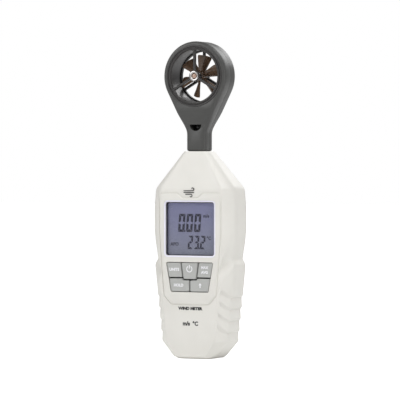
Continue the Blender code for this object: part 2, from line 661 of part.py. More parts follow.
def build_door(look):
    """Sliding battery door: a plate of the body's own outer shape, with tongues at its sides."""
    half = DOOR_HALF_WIDTH
    reach = half + DOOR_TONGUE
    door = box("battery_door", (-half, DOOR_INNER_Y, GAP), (half, BACK_Y + EMBED, DOOR_TOP), look)
    for number, side in enumerate((-1, 1), 1):
        hook = [(side * (half - DOOR_WEB), DOOR_INNER_Y + EMBED),
                (side * (half - DOOR_WEB), TONGUE_FRONT_Y), (side * reach, TONGUE_FRONT_Y),
                (side * reach, TONGUE_BACK_Y), (side * (half - GAP / 2), TONGUE_BACK_Y),
                (side * (half - GAP / 2), DOOR_INNER_Y + EMBED)]
        join(door, prism(f"door_tongue_{number}", hook, DOOR_TONGUE_LOW, DOOR_TOP - GAP, look,
                         "Z"))
    combine(door, body_solid("door_limit", look), "INTERSECT")
    return door


# ---------------------------------------------------------------- display and board

def plate(name, half_width, half_height, front, thickness, look):
    """A flat piece centred behind the display window."""
    outline = rounded_rectangle(2 * half_width, 2 * half_height, GLASS_RADIUS, (0, WINDOW_Z))
    return prism(name, outline, front, front + thickness, look)


def build_display(looks):
    plate("lcd_window", GLASS_HALF_WIDTH, GLASS_HALF_HEIGHT, WINDOW_Y, WINDOW_THICKNESS,
          looks["clear"])
    plate("lcd_panel", GLASS_HALF_WIDTH, GLASS_HALF_HEIGHT, GLASS_Y, GLASS_THICKNESS,
          looks["glass"])
    strip_space = STRIP_HEIGHT + 2 * GAP
    plate("lcd_backlight", GLASS_HALF_WIDTH - BACKLIGHT_MARGIN, GLASS_HALF_HEIGHT - strip_space,
          BACKLIGHT_Y, BACKLIGHT_THICKNESS, looks["backlight"])
    for number, side in enumerate((-1, 1), 1):
        middle = WINDOW_Z + side * (GLASS_HALF_HEIGHT - STRIP_HEIGHT / 2 - GAP / 2)
        box(f"contact_strip_{number}",
            (-GLASS_HALF_WIDTH + STRIP_MARGIN, BACKLIGHT_Y, middle - STRIP_HEIGHT / 2),
            (GLASS_HALF_WIDTH - STRIP_MARGIN, BOARD_FRONT_Y - GAP, middle + STRIP_HEIGHT / 2),
            looks["rubber"])
    frame = plate("lcd_frame", GLASS_HALF_WIDTH + FRAME_BORDER, GLASS_HALF_HEIGHT + FRAME_BORDER,
                  FRAME_Y, BOARD_FRONT_Y - GAP - FRAME_Y, looks["dark"])
    cut(frame, plate("lcd_frame_hollow", GLASS_HALF_WIDTH + GAP, GLASS_HALF_HEIGHT + GAP,
                     GLASS_Y - EMBED, BOARD_FRONT_Y - GLASS_Y + 2 * EMBED, looks["dark"]))


def build_board(looks):
    board = box("main_board", (-BOARD_WIDTH / 2, BOARD_FRONT_Y, BOARD_LOW),
                (BOARD_WIDTH / 2, BOARD_BACK_Y, BOARD_TOP), looks["board"])
    for number, (x, z) in enumerate(board_screw_places(), 1):
        cut(board, rod(f"board_hole_{number}", BOARD_SCREW_RADIUS + GAP, BOARD_FRONT_Y - GAP,
                       BOARD_BACK_Y + GAP, x, z, looks["board"], COARSE_STEPS))
        build_screw(f"board_screw_{number}", x, z, BOARD_BACK_Y + GAP, BOARD_SCREW_RADIUS,
                    BOARD_SCREW_LENGTH, looks["steel"])
    back = BOARD_BACK_Y + GAP
    chip = CHIP_SIZE / 2
    box("controller_chip", (-chip, back, WINDOW_Z - chip),
        (chip, back + CHIP_HEIGHT, WINDOW_Z + chip), looks["dark"])
    box("crystal", (CRYSTAL_X - CRYSTAL_WIDTH / 2, back, WINDOW_Z - CRYSTAL_LENGTH / 2),
        (CRYSTAL_X + CRYSTAL_WIDTH / 2, back + CRYSTAL_HEIGHT, WINDOW_Z + CRYSTAL_LENGTH / 2),
        looks["steel"])
    rod("capacitor", CAPACITOR_RADIUS, back, back + TALL_PART_HEIGHT, CAPACITOR_X, WINDOW_Z,
        looks["dark"])
    rod("buzzer", BUZZER_RADIUS, back, back + TALL_PART_HEIGHT, BUZZER_X, BOARD_TOP - BUZZER_DROP,
        looks["dark"])
    connector_top = BOARD_TOP - CONNECTOR_DROP
    box("lead_connector", (-CONNECTOR_WIDTH / 2, back, connector_top - CONNECTOR_LENGTH),
        (CONNECTOR_WIDTH / 2, back + CONNECTOR_HEIGHT, connector_top), looks["backlight"])


def build_screw(name, x, z, seat, radius, length, look, head_radius=None, head=None):
    """A screw along Y with its head behind the seat and a cross recess in the head."""
    head_radius = head_radius or 2.1 * radius
    head = head or 1.3 * radius
    profile = [(0, seat - length), (0.6 * radius, seat - length),
               (radius, seat - length + radius), (radius, seat), (head_radius, seat),
               (head_radius, seat + 0.6 * head), (0.7 * head_radius, seat + head), (0, seat + head)]
    screw = turned(name, profile, (x, 0, z), look, 16)
    slot = 0.17 * head_radius
    reach = 0.55 * head_radius
    cross = [(slot, slot), (slot, reach), (-slot, reach), (-slot, slot), (-reach, slot),
             (-reach, -slot), (-slot, -slot), (-slot, -reach), (slot, -reach), (slot, -slot),
             (reach, -slot), (reach, slot)]
    outline = [(x + across, z + up) for across, up in cross]
    cut(screw, prism(name + "_recess", outline, seat + 0.4 * head, seat + 2 * head, look))
    return screw


# ---------------------------------------------------------------- keys

def key_outlines():
    """Corners of the five keys, anticlockwise, each set in by half the space between keys."""
    half = KEY_SPACE / 2
    top = KEYPAD_TOP - half
    low = KEYPAD_LOW + half
    row_top = KEY_ROW_Z + half
    row_low = KEY_ROW_Z - half

    def edge(height):
        return keypad_edge(height) - half

    def power_side(height, margin):
        share = (height - POWER_KEY_LOW) / (KEYPAD_TOP - POWER_KEY_LOW)
        width = POWER_LOW_WIDTH + (POWER_TOP_WIDTH - POWER_LOW_WIDTH) * share
        return width / 2 + margin

    power = [(-power_side(POWER_KEY_LOW, 0), POWER_KEY_LOW),
             (power_side(POWER_KEY_LOW, 0), POWER_KEY_LOW),
             (power_side(top, 0), top), (-power_side(top, 0), top)]
    upper = [(power_side(row_top, KEY_SPACE), row_top), (edge(row_top), row_top),
             (edge(top), top), (power_side(top, KEY_SPACE), top)]
    notch = POWER_KEY_LOW - KEY_SPACE
    lower = [(half, low), (edge(low), low), (edge(row_low), row_low),
             (power_side(row_low, KEY_SPACE), row_low), (power_side(notch, KEY_SPACE), notch),
             (half, notch)]

    def mirror(outline):
        return [(-x, z) for x, z in reversed(outline)]

    return {"units_key": mirror(upper), "power_key": power, "max_key": upper,
            "hold_key": mirror(lower), "up_key": lower}


def key_middle(outline):
    """Where a key's stem stands."""
    xs = [x for x, z in outline]
    zs = [z for x, z in outline]
    return (min(xs) + max(xs)) / 2, (min(zs) + max(zs)) / 2


def build_keys(looks):
    outlines = key_outlines()
    mat = prism("keypad_mat", rounded_outline(keypad_corners(MAT_MARGIN), KEYPAD_CORNER),
                MAT_Y, MAT_Y + MAT_THICKNESS, looks["rubber"])
    for name, outline in outlines.items():
        x, z = key_middle(outline)
        key = prism(name, rounded_outline(outline, KEY_CORNER, 2), KEY_FRONT_Y, KEY_BACK_Y,
                    looks["key"])
        join(key, rod(name + "_stem", STEM_RADIUS, KEY_BACK_Y - EMBED, STEM_END_Y, x, z,
                      looks["key"], COARSE_STEPS))
        cut(mat, rod(name + "_mat_hole", STEM_RADIUS + 1.5 * GAP, MAT_Y - GAP,
                     MAT_Y + MAT_THICKNESS + GAP, x, z, looks["rubber"], COARSE_STEPS))
        half = SWITCH_SIZE / 2
        box(name.replace("_key", "_switch"), (x - half, SWITCH_Y, z - half),
            (x + half, SWITCH_Y + SWITCH_HEIGHT, z + half), looks["steel"])


# ---------------------------------------------------------------- battery bay contents

def build_spring(name, x, low, high, look):
    """A cone spring between a contact plate and the flat end of a cell."""
    points = 9 * SPRING_TURNS
    curve = bpy.data.curves.new(name, "CURVE")
    curve.dimensions = "3D"
    curve.bevel_depth = SPRING_WIRE / 2
    curve.bevel_resolution = 0
    curve.use_fill_caps = True
    line = curve.splines.new("POLY")
    line.points.add(points)
    margin = SPRING_WIRE / 2 + GAP
    for index, point in enumerate(line.points):
        share = index / points
        angle = math.tau * SPRING_TURNS * share
        radius = SPRING_WIDE_RADIUS + (SPRING_NARROW_RADIUS - SPRING_WIDE_RADIUS) * share
        point.co = (x + radius * math.cos(angle), CELL_Y + radius * math.sin(angle),
                    low + margin + (high - low - 2 * margin) * share, 1)
    curve.materials.append(look)
    new = bpy.data.objects.new(name, curve)
    bpy.context.collection.objects.link(new)
    return new


def build_batteries(looks):
    """Cells stand side by side, every second one upside down, joined by contact plates."""
    length = CELL_LENGTH
    tip = CELL_TIP
    profile = [(0, 0), (CELL_RADIUS - CELL_EDGE, 0), (CELL_RADIUS, CELL_EDGE),
               (CELL_RADIUS, length - tip - CELL_EDGE), (CELL_RADIUS - CELL_EDGE, length - tip),
               (CELL_TIP_RADIUS, length - tip), (CELL_TIP_RADIUS, length), (0, length)]
    first = -CELL_PITCH * (CELL_COUNT - 1) / 2
    floor = BAY_LOW + GAP + CONTACT_THICKNESS
    roof = BAY_TOP - GAP - CONTACT_THICKNESS
    for index in range(CELL_COUNT):
        x = first + CELL_PITCH * index
        upright = index % 2 == 0
        shape = profile if upright else [(radius, length - along) for radius, along in profile]
        start = roof - GAP - length if upright else floor + GAP
        turned(f"battery_cell_{index + 1}", shape, (x, CELL_Y, start), looks["cell"], axis="Z")
        if upright:
            build_spring(f"battery_spring_{index + 1}", x, floor, start, looks["steel"])
        else:
            build_spring(f"battery_spring_{index + 1}", x, start + length, roof, looks["steel"])
    half = CONTACT_SIZE / 2
    last = first + CELL_PITCH * (CELL_COUNT - 1)
    middle = first + CELL_PITCH
    plates = {"contact_minus": (first, first, BAY_LOW + GAP),
              "contact_link_low": (middle, last, BAY_LOW + GAP),
              "contact_link_top": (first, middle, roof),
              "contact_plus": (last, last, roof)}
    for name, (left, right, height) in plates.items():
        box(name, (left - half, CELL_Y - half, height),
            (right + half, CELL_Y + half, height + CONTACT_THICKNESS), looks["steel"])


# ---------------------------------------------------------------- sensor head

def head_outline(inset):
    """Outline of the neck and the head, as (x, z) points, moved in from the edge."""
    radius = HEAD_RADIUS - inset
    half = NECK_WIDTH / 2 - inset
    low = BODY_HEIGHT + GAP + inset
    corner = NECK_CORNER
    touch = Vector((radius * math.cos(HEAD_TAPER), HEAD_Z - radius * math.sin(HEAD_TAPER)))
    bend_z = touch.y - (touch.x - half) / math.tan(HEAD_TAPER)
    fillet = NECK_FILLET + inset
    reach = fillet * math.tan(HEAD_TAPER / 2)
    right = [(0, low), (half - corner, low), (half, low + corner)]
    for step in range(CORNER_STEPS + 1):
        angle = HEAD_TAPER * step / CORNER_STEPS
        right.append((half + fillet * (1 - math.cos(angle)),
                      bend_z - reach + fillet * math.sin(angle)))
    for step in range(HEAD_STEPS + 1):
        angle = -HEAD_TAPER + (math.pi / 2 + HEAD_TAPER) * step / HEAD_STEPS
        right.append((max(radius * math.cos(angle), 0), HEAD_Z + radius * math.sin(angle)))
    return mirrored(right)


def head_half_thickness(height):
    """Half thickness of the head, which thins towards the neck."""
    bend = HEAD_Z - HEAD_RADIUS - HEAD_BEND_DROP
    share = min(max((height - bend) / HEAD_BEND_HEIGHT, 0), 1)
    return (NECK_THICKNESS + (HEAD_THICKNESS - NECK_THICKNESS) * share) / 2


def head_solid(name, surface):
    """Outer shape of the head and the visible neck, with a rounded rim."""
    rings = []
    for side in (-1, 1):
        stages = range(CORNER_STEPS + 1)
        for stage in stages if side < 0 else reversed(stages):
            angle = math.pi / 2 * stage / CORNER_STEPS
            inset = HEAD_EDGE * (1 - math.sin(angle))
            back_off = HEAD_EDGE * (1 - math.cos(angle))
            rings.append([(x, HEAD_Y + side * (head_half_thickness(z) - back_off), z)
                          for x, z in head_outline(inset)])
    return loft(name, rings, surface)


def head_screw_places():
    z = HEAD_Z - BARREL_RADIUS - HEAD_SCREW_SPACE
    return [(-HEAD_SCREW_SPREAD / 2, z), (HEAD_SCREW_SPREAD / 2, z)]


def build_head_shell(name, side, look):
    """One half of the head: side -1 is the front one, with the vent for the temperature sensor."""
    shell = head_solid(name, look)
    half = SPIGOT_THICKNESS / 2
    spigot_low = BODY_HEIGHT - SPIGOT_LENGTH
    flange_top = CAVITY_TOP - GAP
    join(shell,
         box(name + "_spigot", (-SPIGOT_WIDTH / 2, HEAD_Y - half, spigot_low),
             (SPIGOT_WIDTH / 2, HEAD_Y + half, BODY_HEIGHT + GAP + HEAD_EDGE + EMBED), look),
         box(name + "_flange", (-FLANGE_WIDTH / 2, HEAD_Y - half, flange_top - FLANGE_THICKNESS),
             (FLANGE_WIDTH / 2, HEAD_Y + half, flange_top), look))
    channel = CHANNEL_WIDTH / 2
    depth = NECK_THICKNESS / 2 - HEAD_WALL
    cut(shell,
        rod(name + "_bore", BARREL_RADIUS + GAP, HEAD_Y - HEAD_THICKNESS, HEAD_Y + HEAD_THICKNESS,
            0, HEAD_Z, look, FINE_STEPS),
        box(name + "_channel", (-channel, HEAD_Y - depth, BODY_HEIGHT + HEAD_WALL),
            (channel, HEAD_Y + depth, CHANNEL_TOP), look),
        box(name + "_wire_way", (-channel / 2, HEAD_Y - depth / 1.5, spigot_low - EMBED),
            (channel / 2, HEAD_Y + depth / 1.5, BODY_HEIGHT + HEAD_WALL + EMBED), look))
    far = 2 * HEAD_RADIUS
    if side < 0:
        low, high = HEAD_Y - GAP / 2, HEAD_Y + far
    else:
        low, high = HEAD_Y - far, HEAD_Y + GAP / 2
    cut(shell, box(name + "_trim", (-far, low, 0), (far, high, HEAD_Z + far), look))
    for number, (x, z) in enumerate(head_screw_places(), 1):
        seat = HEAD_Y + HEAD_WALL
        if side < 0:
            cut(shell, rod(f"{name}_hole_{number}", HEAD_SCREW_RADIUS + GAP,
                           seat - HEAD_SCREW_LENGTH - GAP, HEAD_Y + GAP, x, z, look, COARSE_STEPS))
        else:
            cut(shell, rod(f"{name}_hole_{number}", HEAD_SCREW_RADIUS + GAP, HEAD_Y - GAP,
                           seat + GAP, x, z, look, COARSE_STEPS),
                rod(f"{name}_seat_{number}", 2.1 * HEAD_SCREW_RADIUS + GAP, seat - GAP,
                    HEAD_Y + HEAD_THICKNESS, x, z, look, 16))
    if side < 0:
        vent = [(VENT_RADIUS * math.cos(math.pi + math.pi * step / VENT_STEPS),
                 VENT_Z + VENT_RADIUS * math.sin(math.pi + math.pi * step / VENT_STEPS))
                for step in range(VENT_STEPS + 1)]
        cut(shell, prism("vent", vent, HEAD_Y - HEAD_HALF - EMBED, HEAD_Y - depth + EMBED, look))
    return shell


def spoke_angles():
    return [math.pi / 2 + math.tau * number / SPOKE_COUNT for number in range(SPOKE_COUNT)]


def spoke(name, angle, length, front, look):
    """A guard spoke from the hub to the ring, across the middle of the duct."""
    half = SPOKE_WIDTH / 2
    ahead = Vector((math.cos(angle), math.sin(angle)))
    across = Vector((-ahead.y, ahead.x)) * half
    start = ahead * HUB_BOSS_RADIUS / 2
    end = ahead * length
    corners = [start - across, end - across, end + across, start + across]
    outline = [(corner.x, HEAD_Z + corner.y) for corner in corners]
    return prism(name, outline, front, front + SPOKE_DEPTH, look)


def bearing_boss(outside, side):
    """Profile of the boss that holds a bearing: a pocket outside and a shaft hole behind it."""
    hole = SHAFT_RADIUS + 2 * GAP
    pocket = BEARING_RADIUS + GAP
    pocket_end = outside + side * (BEARING_DEPTH + GAP)
    end = outside + side * HUB_BOSS_DEPTH
    return [(HUB_BOSS_RADIUS, outside), (HUB_BOSS_RADIUS, end), (hole, end), (hole, pocket_end),
            (pocket, pocket_end), (pocket, outside)]


def build_duct(looks):
    """Barrel with the front guard, and the rear guard that closes it behind the impeller."""
    inner, outer = DUCT_RADIUS, BARREL_RADIUS
    edge = DUCT_EDGE
    half = BARREL_HALF
    profile = [(inner, -half + edge), (inner + edge, -half), (outer - edge, -half),
               (outer, -half + edge), (outer, half - edge), (outer - edge, half),
               (inner + edge, half), (inner, half - edge)]
    centre = (0, HEAD_Y, HEAD_Z)
    barrel = turned("duct_barrel", profile, centre, looks["head"], FINE_STEPS)
    front = HEAD_Y - SPOKE_Y
    reach = DUCT_RADIUS + DUCT_WALL / 2
    for number, angle in enumerate(spoke_angles(), 1):
        join(barrel, spoke(f"front_spoke_{number}", angle, reach, front, looks["head"]))
    cut(barrel, rod("front_hub_space", HUB_BOSS_RADIUS - 0.2 * MM, front - EMBED,
                    front + SPOKE_DEPTH + EMBED, 0, HEAD_Z, looks["head"]))
    join(barrel, turned("front_boss", bearing_boss(front - BOSS_STEP - HEAD_Y, 1), centre,
                        looks["head"]))

    rim_outer = DUCT_RADIUS - GAP
    rim_inner = rim_outer - GUARD_RIM
    back = HEAD_Y + SPOKE_Y
    low = back - SPOKE_DEPTH - BOSS_STEP - HEAD_Y
    high = back + BOSS_STEP - HEAD_Y
    rim = [(rim_inner, low), (rim_outer, low), (rim_outer, high), (rim_inner, high)]
    guard = turned("rear_guard", rim, centre, looks["head"], FINE_STEPS)
    for number, angle in enumerate(spoke_angles(), 1):
        join(guard, spoke(f"rear_spoke_{number}", angle, rim_inner + GUARD_RIM / 2,
                          back - SPOKE_DEPTH, looks["head"]))
    cut(guard, rod("rear_hub_space", HUB_BOSS_RADIUS - 0.2 * MM, back - SPOKE_DEPTH - EMBED,
                   back + EMBED, 0, HEAD_Z, looks["head"]))
    join(guard, turned("rear_boss", bearing_boss(back + BOSS_STEP - HEAD_Y, -1), centre,
                       looks["head"]))


def build_bearings(looks):
    """A bright cup and a jewel in each boss."""
    centre = (0, HEAD_Y, HEAD_Z)
    for place, side in (("front", -1), ("rear", 1)):
        outside = side * (SPOKE_Y + BEARING_STEP)
        inside = outside - side * BEARING_DEPTH
        cup = [(BEARING_BORE, outside), (BEARING_RADIUS - SMALL_EDGE, outside),
               (BEARING_RADIUS, outside - side * SMALL_EDGE), (BEARING_RADIUS, inside),
               (BEARING_BORE, inside)]
        turned(f"{place}_bearing", cup, centre, looks["chrome"])
        face = outside - side * 2 * BEARING_STEP
        root = face - side * JEWEL_DEPTH
        jewel = [(0, face), (JEWEL_RADIUS * 0.6, face),
                 (JEWEL_RADIUS, face - side * SMALL_EDGE), (JEWEL_RADIUS, root), (0, root)]
        turned(f"{place}_jewel", jewel, centre, looks["jewel"])


def blade_ring(radius, angle, chord, pitch):
    """Cross-section of a blade at a radius, wrapped around the impeller's axis."""
    ring = []
    for along, side in ((-0.5, -1), (0.5, -1), (0.5, 1), (-0.5, 1)):
        axial = along * chord * math.cos(pitch) + side * BLADE_THICKNESS / 2 * math.sin(pitch)
        around = along * chord * math.sin(pitch) - side * BLADE_THICKNESS / 2 * math.cos(pitch)
        turn = angle + around / radius
        ring.append((radius * math.cos(turn), BLADE_Y + axial, HEAD_Z + radius * math.sin(turn)))
    return ring


def build_impeller(looks):
    hub = IMPELLER_HUB_DEPTH / 2
    bore = SHAFT_RADIUS + GAP
    edge = IMPELLER_HUB_EDGE
    profile = [(bore, -hub), (IMPELLER_HUB_RADIUS - edge, -hub),
               (IMPELLER_HUB_RADIUS, -hub + edge), (IMPELLER_HUB_RADIUS, hub), (bore, hub)]
    impeller = turned("impeller", profile, (0, IMPELLER_Y, HEAD_Z), looks["blade"])
    root = IMPELLER_HUB_RADIUS - BLADE_EMBED
    for number in range(BLADE_COUNT):
        angle = FIRST_BLADE + math.tau * number / BLADE_COUNT
        rings = []
        for station in range(BLADE_STATIONS + 1):
            share = station / BLADE_STATIONS
            rings.append(blade_ring(root + (IMPELLER_RADIUS - root) * share, angle,
                                    BLADE_ROOT_CHORD + (BLADE_TIP_CHORD - BLADE_ROOT_CHORD) * share,
                                    BLADE_ROOT_PITCH + (BLADE_TIP_PITCH - BLADE_ROOT_PITCH) * share))
        join(impeller, loft(f"blade_{number + 1}", rings, looks["blade"]))
    reach = SPOKE_Y - BEARING_STEP - JEWEL_DEPTH - GAP
    cone = SHAFT_RADIUS - SHAFT_TIP_RADIUS
    shaft = [(0, -reach), (SHAFT_TIP_RADIUS, -reach), (SHAFT_RADIUS, -reach + cone),
             (SHAFT_RADIUS, reach - cone), (SHAFT_TIP_RADIUS, reach), (0, reach)]
    turned("impeller_shaft", shaft, (0, HEAD_Y, HEAD_Z), looks["steel"], COARSE_STEPS)
    back = -hub - GAP
    magnet = [(bore, back - MAGNET_DEPTH), (MAGNET_RADIUS, back - MAGNET_DEPTH),
              (MAGNET_RADIUS, back), (bore, back)]
    turned("rotor_magnet", magnet, (0, IMPELLER_Y, HEAD_Z), looks["steel"], 16)


def build_head_sensors(looks):
    """Pick-up board and coil under the duct, temperature sensor behind the vent, and the lead."""
    top = CHANNEL_TOP - GAP
    half = CHANNEL_WIDTH / 2 - GAP
    board_y = HEAD_Y + PICKUP_Y
    board_low = top - PICKUP_HEIGHT
    box("pickup_board", (-half, board_y, board_low), (half, board_y + PICKUP_THICKNESS, top),
        looks["board"])
    rod("pickup_coil", COIL_RADIUS, board_y - GAP - COIL_DEPTH, board_y - GAP, 0,
        top - COIL_DROP, looks["copper"])
    bead = BEAD_RADIUS
    turned("temperature_sensor", [(0, -bead), (0.7 * bead, -0.7 * bead), (bead, 0),
                                  (0.7 * bead, 0.7 * bead), (0, bead)],
           (0, HEAD_Y - BEAD_Y, VENT_Z - BEAD_DROP), looks["dark"], COARSE_STEPS)
    plug_y = BOARD_BACK_Y + GAP + CONNECTOR_HEIGHT / 2
    plug_z = BOARD_TOP - CONNECTOR_DROP + GAP
    route = [(0, board_y + PICKUP_THICKNESS / 2, board_low - GAP),
             (0, board_y + PICKUP_THICKNESS / 2, BODY_HEIGHT + 3 * HEAD_WALL),
             (0, HEAD_Y, BODY_HEIGHT), (0, HEAD_Y, BODY_HEIGHT - SPIGOT_LENGTH),
             (0, plug_y, plug_z + 5 * LEAD_RADIUS), (0, plug_y, plug_z)]
    curve = bpy.data.curves.new("sensor_lead", "CURVE")
    curve.dimensions = "3D"
    curve.bevel_depth = LEAD_RADIUS
    curve.bevel_resolution = 1
    curve.use_fill_caps = True
    line = curve.splines.new("POLY")
    line.points.add(len(route) - 1)
    for point, place in zip(line.points, route):
        point.co = (*place, 1)
    curve.materials.append(looks["rubber"])
    bpy.context.collection.objects.link(bpy.data.objects.new("sensor_lead", curve))


# ---------------------------------------------------------------- whole object

def build_all():
    looks = {
        "body": material("body_plastic", (0.74, 0.72, 0.68), 0.45),
        "head": material("head_plastic", (0.09, 0.09, 0.088), 0.4),
        "dark": material("dark_plastic", (0.03, 0.03, 0.032), 0.5),
        "key": material("key_plastic", (0.5, 0.5, 0.49), 0.5),
        "rubber": material("rubber", (0.05, 0.05, 0.048), 0.8),
        "clear": material("clear_plastic", (0.9, 0.92, 0.95), 0.08, transmission=0.9),
        "glass": material("display_glass", (0.2, 0.2, 0.35), 0.2),
        "backlight": material("backlight_plastic", (0.8, 0.8, 0.8), 0.5),
        "board": material("circuit_board", (0.03, 0.18, 0.08), 0.5),
        "steel": material("steel", (0.6, 0.6, 0.6), 0.3, 1.0),
        "chrome": material("chrome", (0.8, 0.8, 0.8), 0.1, 1.0),
        "copper": material("copper", (0.7, 0.35, 0.18), 0.3, 1.0),
        "jewel": material("jewel", (0.55, 0.32, 0.22), 0.2),
        "blade": material("blade_plastic", (0.06, 0.045, 0.03), 0.3),
        "cell": material("cell_sleeve", (0.12, 0.2, 0.3), 0.4),
    }
    build_front_casing(looks["body"])
    build_rear_casing(looks["body"])
    build_door(looks["body"])
    build_display(looks)
    build_board(looks)
    build_keys(looks)
    build_batteries(looks)
    build_head_shell("head_front_shell", -1, looks["head"])
    build_head_shell("head_rear_shell", 1, looks["head"])
    build_duct(looks)
    build_bearings(looks)
    build_impeller(looks)
    build_head_sensors(looks)
    for number, (x, z) in enumerate(case_screw_places(), 1):
        build_screw(f"case_screw_{number}", x, z, SCREW_SEAT_Y, SCREW_RADIUS, SCREW_LENGTH,
                    looks["steel"], SCREW_HEAD_RADIUS, SCREW_HEAD)
    for number, (x, z) in enumerate(head_screw_places(), 1):
        build_screw(f"head_screw_{number}", x, z, HEAD_Y + HEAD_WALL, HEAD_SCREW_RADIUS,
                    HEAD_SCREW_LENGTH, looks["steel"])


for old in list(bpy.data.objects):
    bpy.data.objects.remove(old, do_unlink=True)
build_all()
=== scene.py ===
import math

import bmesh
import bpy
from mathutils import Matrix, Vector


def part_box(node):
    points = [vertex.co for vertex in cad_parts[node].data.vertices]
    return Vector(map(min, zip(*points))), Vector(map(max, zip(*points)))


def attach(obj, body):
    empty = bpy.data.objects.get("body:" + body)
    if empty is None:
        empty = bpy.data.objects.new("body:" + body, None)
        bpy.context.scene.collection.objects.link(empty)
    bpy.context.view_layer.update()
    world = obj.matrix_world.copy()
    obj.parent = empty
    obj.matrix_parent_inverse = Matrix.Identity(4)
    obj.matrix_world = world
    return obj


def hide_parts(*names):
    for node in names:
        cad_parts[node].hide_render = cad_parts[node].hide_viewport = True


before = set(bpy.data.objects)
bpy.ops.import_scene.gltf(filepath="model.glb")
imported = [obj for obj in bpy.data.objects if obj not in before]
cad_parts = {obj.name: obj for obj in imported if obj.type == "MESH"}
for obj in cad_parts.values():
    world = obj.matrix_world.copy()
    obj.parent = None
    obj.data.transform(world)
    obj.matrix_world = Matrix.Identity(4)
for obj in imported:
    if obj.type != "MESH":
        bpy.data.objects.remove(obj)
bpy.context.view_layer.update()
mm = 0.001
scene = bpy.context.scene


# Making and finishing pieces

def newObject(name, shape):
    # only links the mesh: dressPiece gives it its look and body
    bmesh.ops.recalc_face_normals(shape, faces=shape.faces)
    mesh = bpy.data.meshes.new(name)
    shape.to_mesh(mesh)
    shape.free()
    piece = bpy.data.objects.new(name, mesh)
    scene.collection.objects.link(piece)
    return piece


def settle(piece):
    # the mesh becomes what its modifiers make of it
    bpy.context.view_layer.update()
    evaluated = piece.evaluated_get(bpy.context.evaluated_depsgraph_get())
    mesh = bpy.data.meshes.new_from_object(evaluated)
    piece.modifiers.clear()
    old = piece.data
    piece.data = mesh
    bpy.data.meshes.remove(old)


def carve(piece, operation, *tools):
    # one boolean for each tool, which is used up
    for tool in tools:
        change = piece.modifiers.new("carve", "BOOLEAN")
        change.operation = operation
        change.solver = "EXACT"
        change.object = tool
    settle(piece)
    for tool in tools:
        bpy.data.objects.remove(tool)


def softenEdges(piece, width, angle=35, segments=2):
    edge = piece.modifiers.new("soften", "BEVEL")
    edge.width = width
    edge.segments = segments
    edge.limit_method = "ANGLE"
    edge.angle_limit = math.radians(angle)
    edge.use_clamp_overlap = True
    edge.harden_normals = False
    settle(piece)


def meshFromCurve(name, curve):
    drawn = bpy.data.objects.new(name, curve)
    scene.collection.objects.link(drawn)
    bpy.context.view_layer.update()
    mesh = bpy.data.meshes.new_from_object(drawn.evaluated_get(
        bpy.context.evaluated_depsgraph_get()))
    bpy.data.objects.remove(drawn)
    bpy.data.curves.remove(curve)
    piece = bpy.data.objects.new(name, mesh)
    scene.collection.objects.link(piece)
    return piece


def dressPiece(piece, look, body="meter", replaced=(), sharp=38):
    piece.data.materials.clear()
    piece.data.materials.append(look)
    piece.data.shade_smooth()
    piece.data.set_sharp_from_angle(angle=math.radians(sharp))
    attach(piece, body)
    for node in replaced:
        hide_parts(node)
    return piece


def loftRings(name, rings, closed=True):
    shape = bmesh.new()
    rows = [[shape.verts.new(point) for point in ring] for ring in rings]
    for row, following in zip(rows, rows[1:]):
        for index in range(len(row)):
            after = (index + 1) % len(row)
            shape.faces.new((row[index], row[after], following[after], following[index]))
    if closed:
        shape.faces.new(rows[0])
        shape.faces.new(rows[-1])
    else:
        for index in range(len(rows[0])):
            after = (index + 1) % len(rows[0])
            shape.faces.new((rows[-1][index], rows[-1][after], rows[0][after], rows[0][index]))
    return newObject(name, shape)


def pushOutline(name, outline, low, high, axis="Y"):
    # (x, z) points pushed along Y, or (x, y) points pushed along Z
    if axis == "Y":
        rings = [[(x, along, z) for x, z in outline] for along in (low, high)]
    else:
        rings = [[(x, y, along) for x, y in outline] for along in (low, high)]
    return loftRings(name, rings)


def block(name, low, high):
    outline = [(low[0], low[2]), (high[0], low[2]), (high[0], high[2]), (low[0], high[2])]
    return pushOutline(name, outline, low[1], high[1])


def turnProfile(name, profile, centre, steps=64):
    # (radius, along) points turned about the Y axis; one that starts off the axis is a ring
    shape = bmesh.new()
    corners = [shape.verts.new((radius, along, 0)) for radius, along in profile]
    edges = [shape.edges.new(pair) for pair in zip(corners, corners[1:])]
    if profile[0][0] > 0:
        edges.append(shape.edges.new((corners[-1], corners[0])))
    bmesh.ops.spin(shape, geom=corners + edges, cent=(0, 0, 0), axis=(0, 1, 0),
                   angle=math.tau, steps=steps, use_duplicate=False)
    bmesh.ops.remove_doubles(shape, verts=shape.verts, dist=0.001 * mm)
    bmesh.ops.translate(shape, verts=shape.verts, vec=centre)
    return newObject(name, shape)


def roundBar(name, radius, low, high, x, z, steps=32):
    return turnProfile(name, [(0, low), (radius, low), (radius, high), (0, high)], (x, 0, z), steps)


def roundedCorners(corners, radius, steps=6):
    # an anticlockwise outline with every corner rounded
    points = []
    count = len(corners)
    for index in range(count):
        corner = Vector(corners[index])
        back = (Vector(corners[index - 1]) - corner).normalized()
        ahead = (Vector(corners[(index + 1) % count]) - corner).normalized()
        halfAngle = back.angle(ahead) / 2
        centre = corner + (back + ahead).normalized() * radius / math.sin(halfAngle)
        start = corner + back * radius / math.tan(halfAngle) - centre
        turn = 1 if back.cross(ahead) < 0 else -1
        sweep = turn * (math.pi - 2 * halfAngle)
        for step in range(steps + 1):
            points.append(tuple(centre + Matrix.Rotation(sweep * step / steps, 2) @ start))
    return points


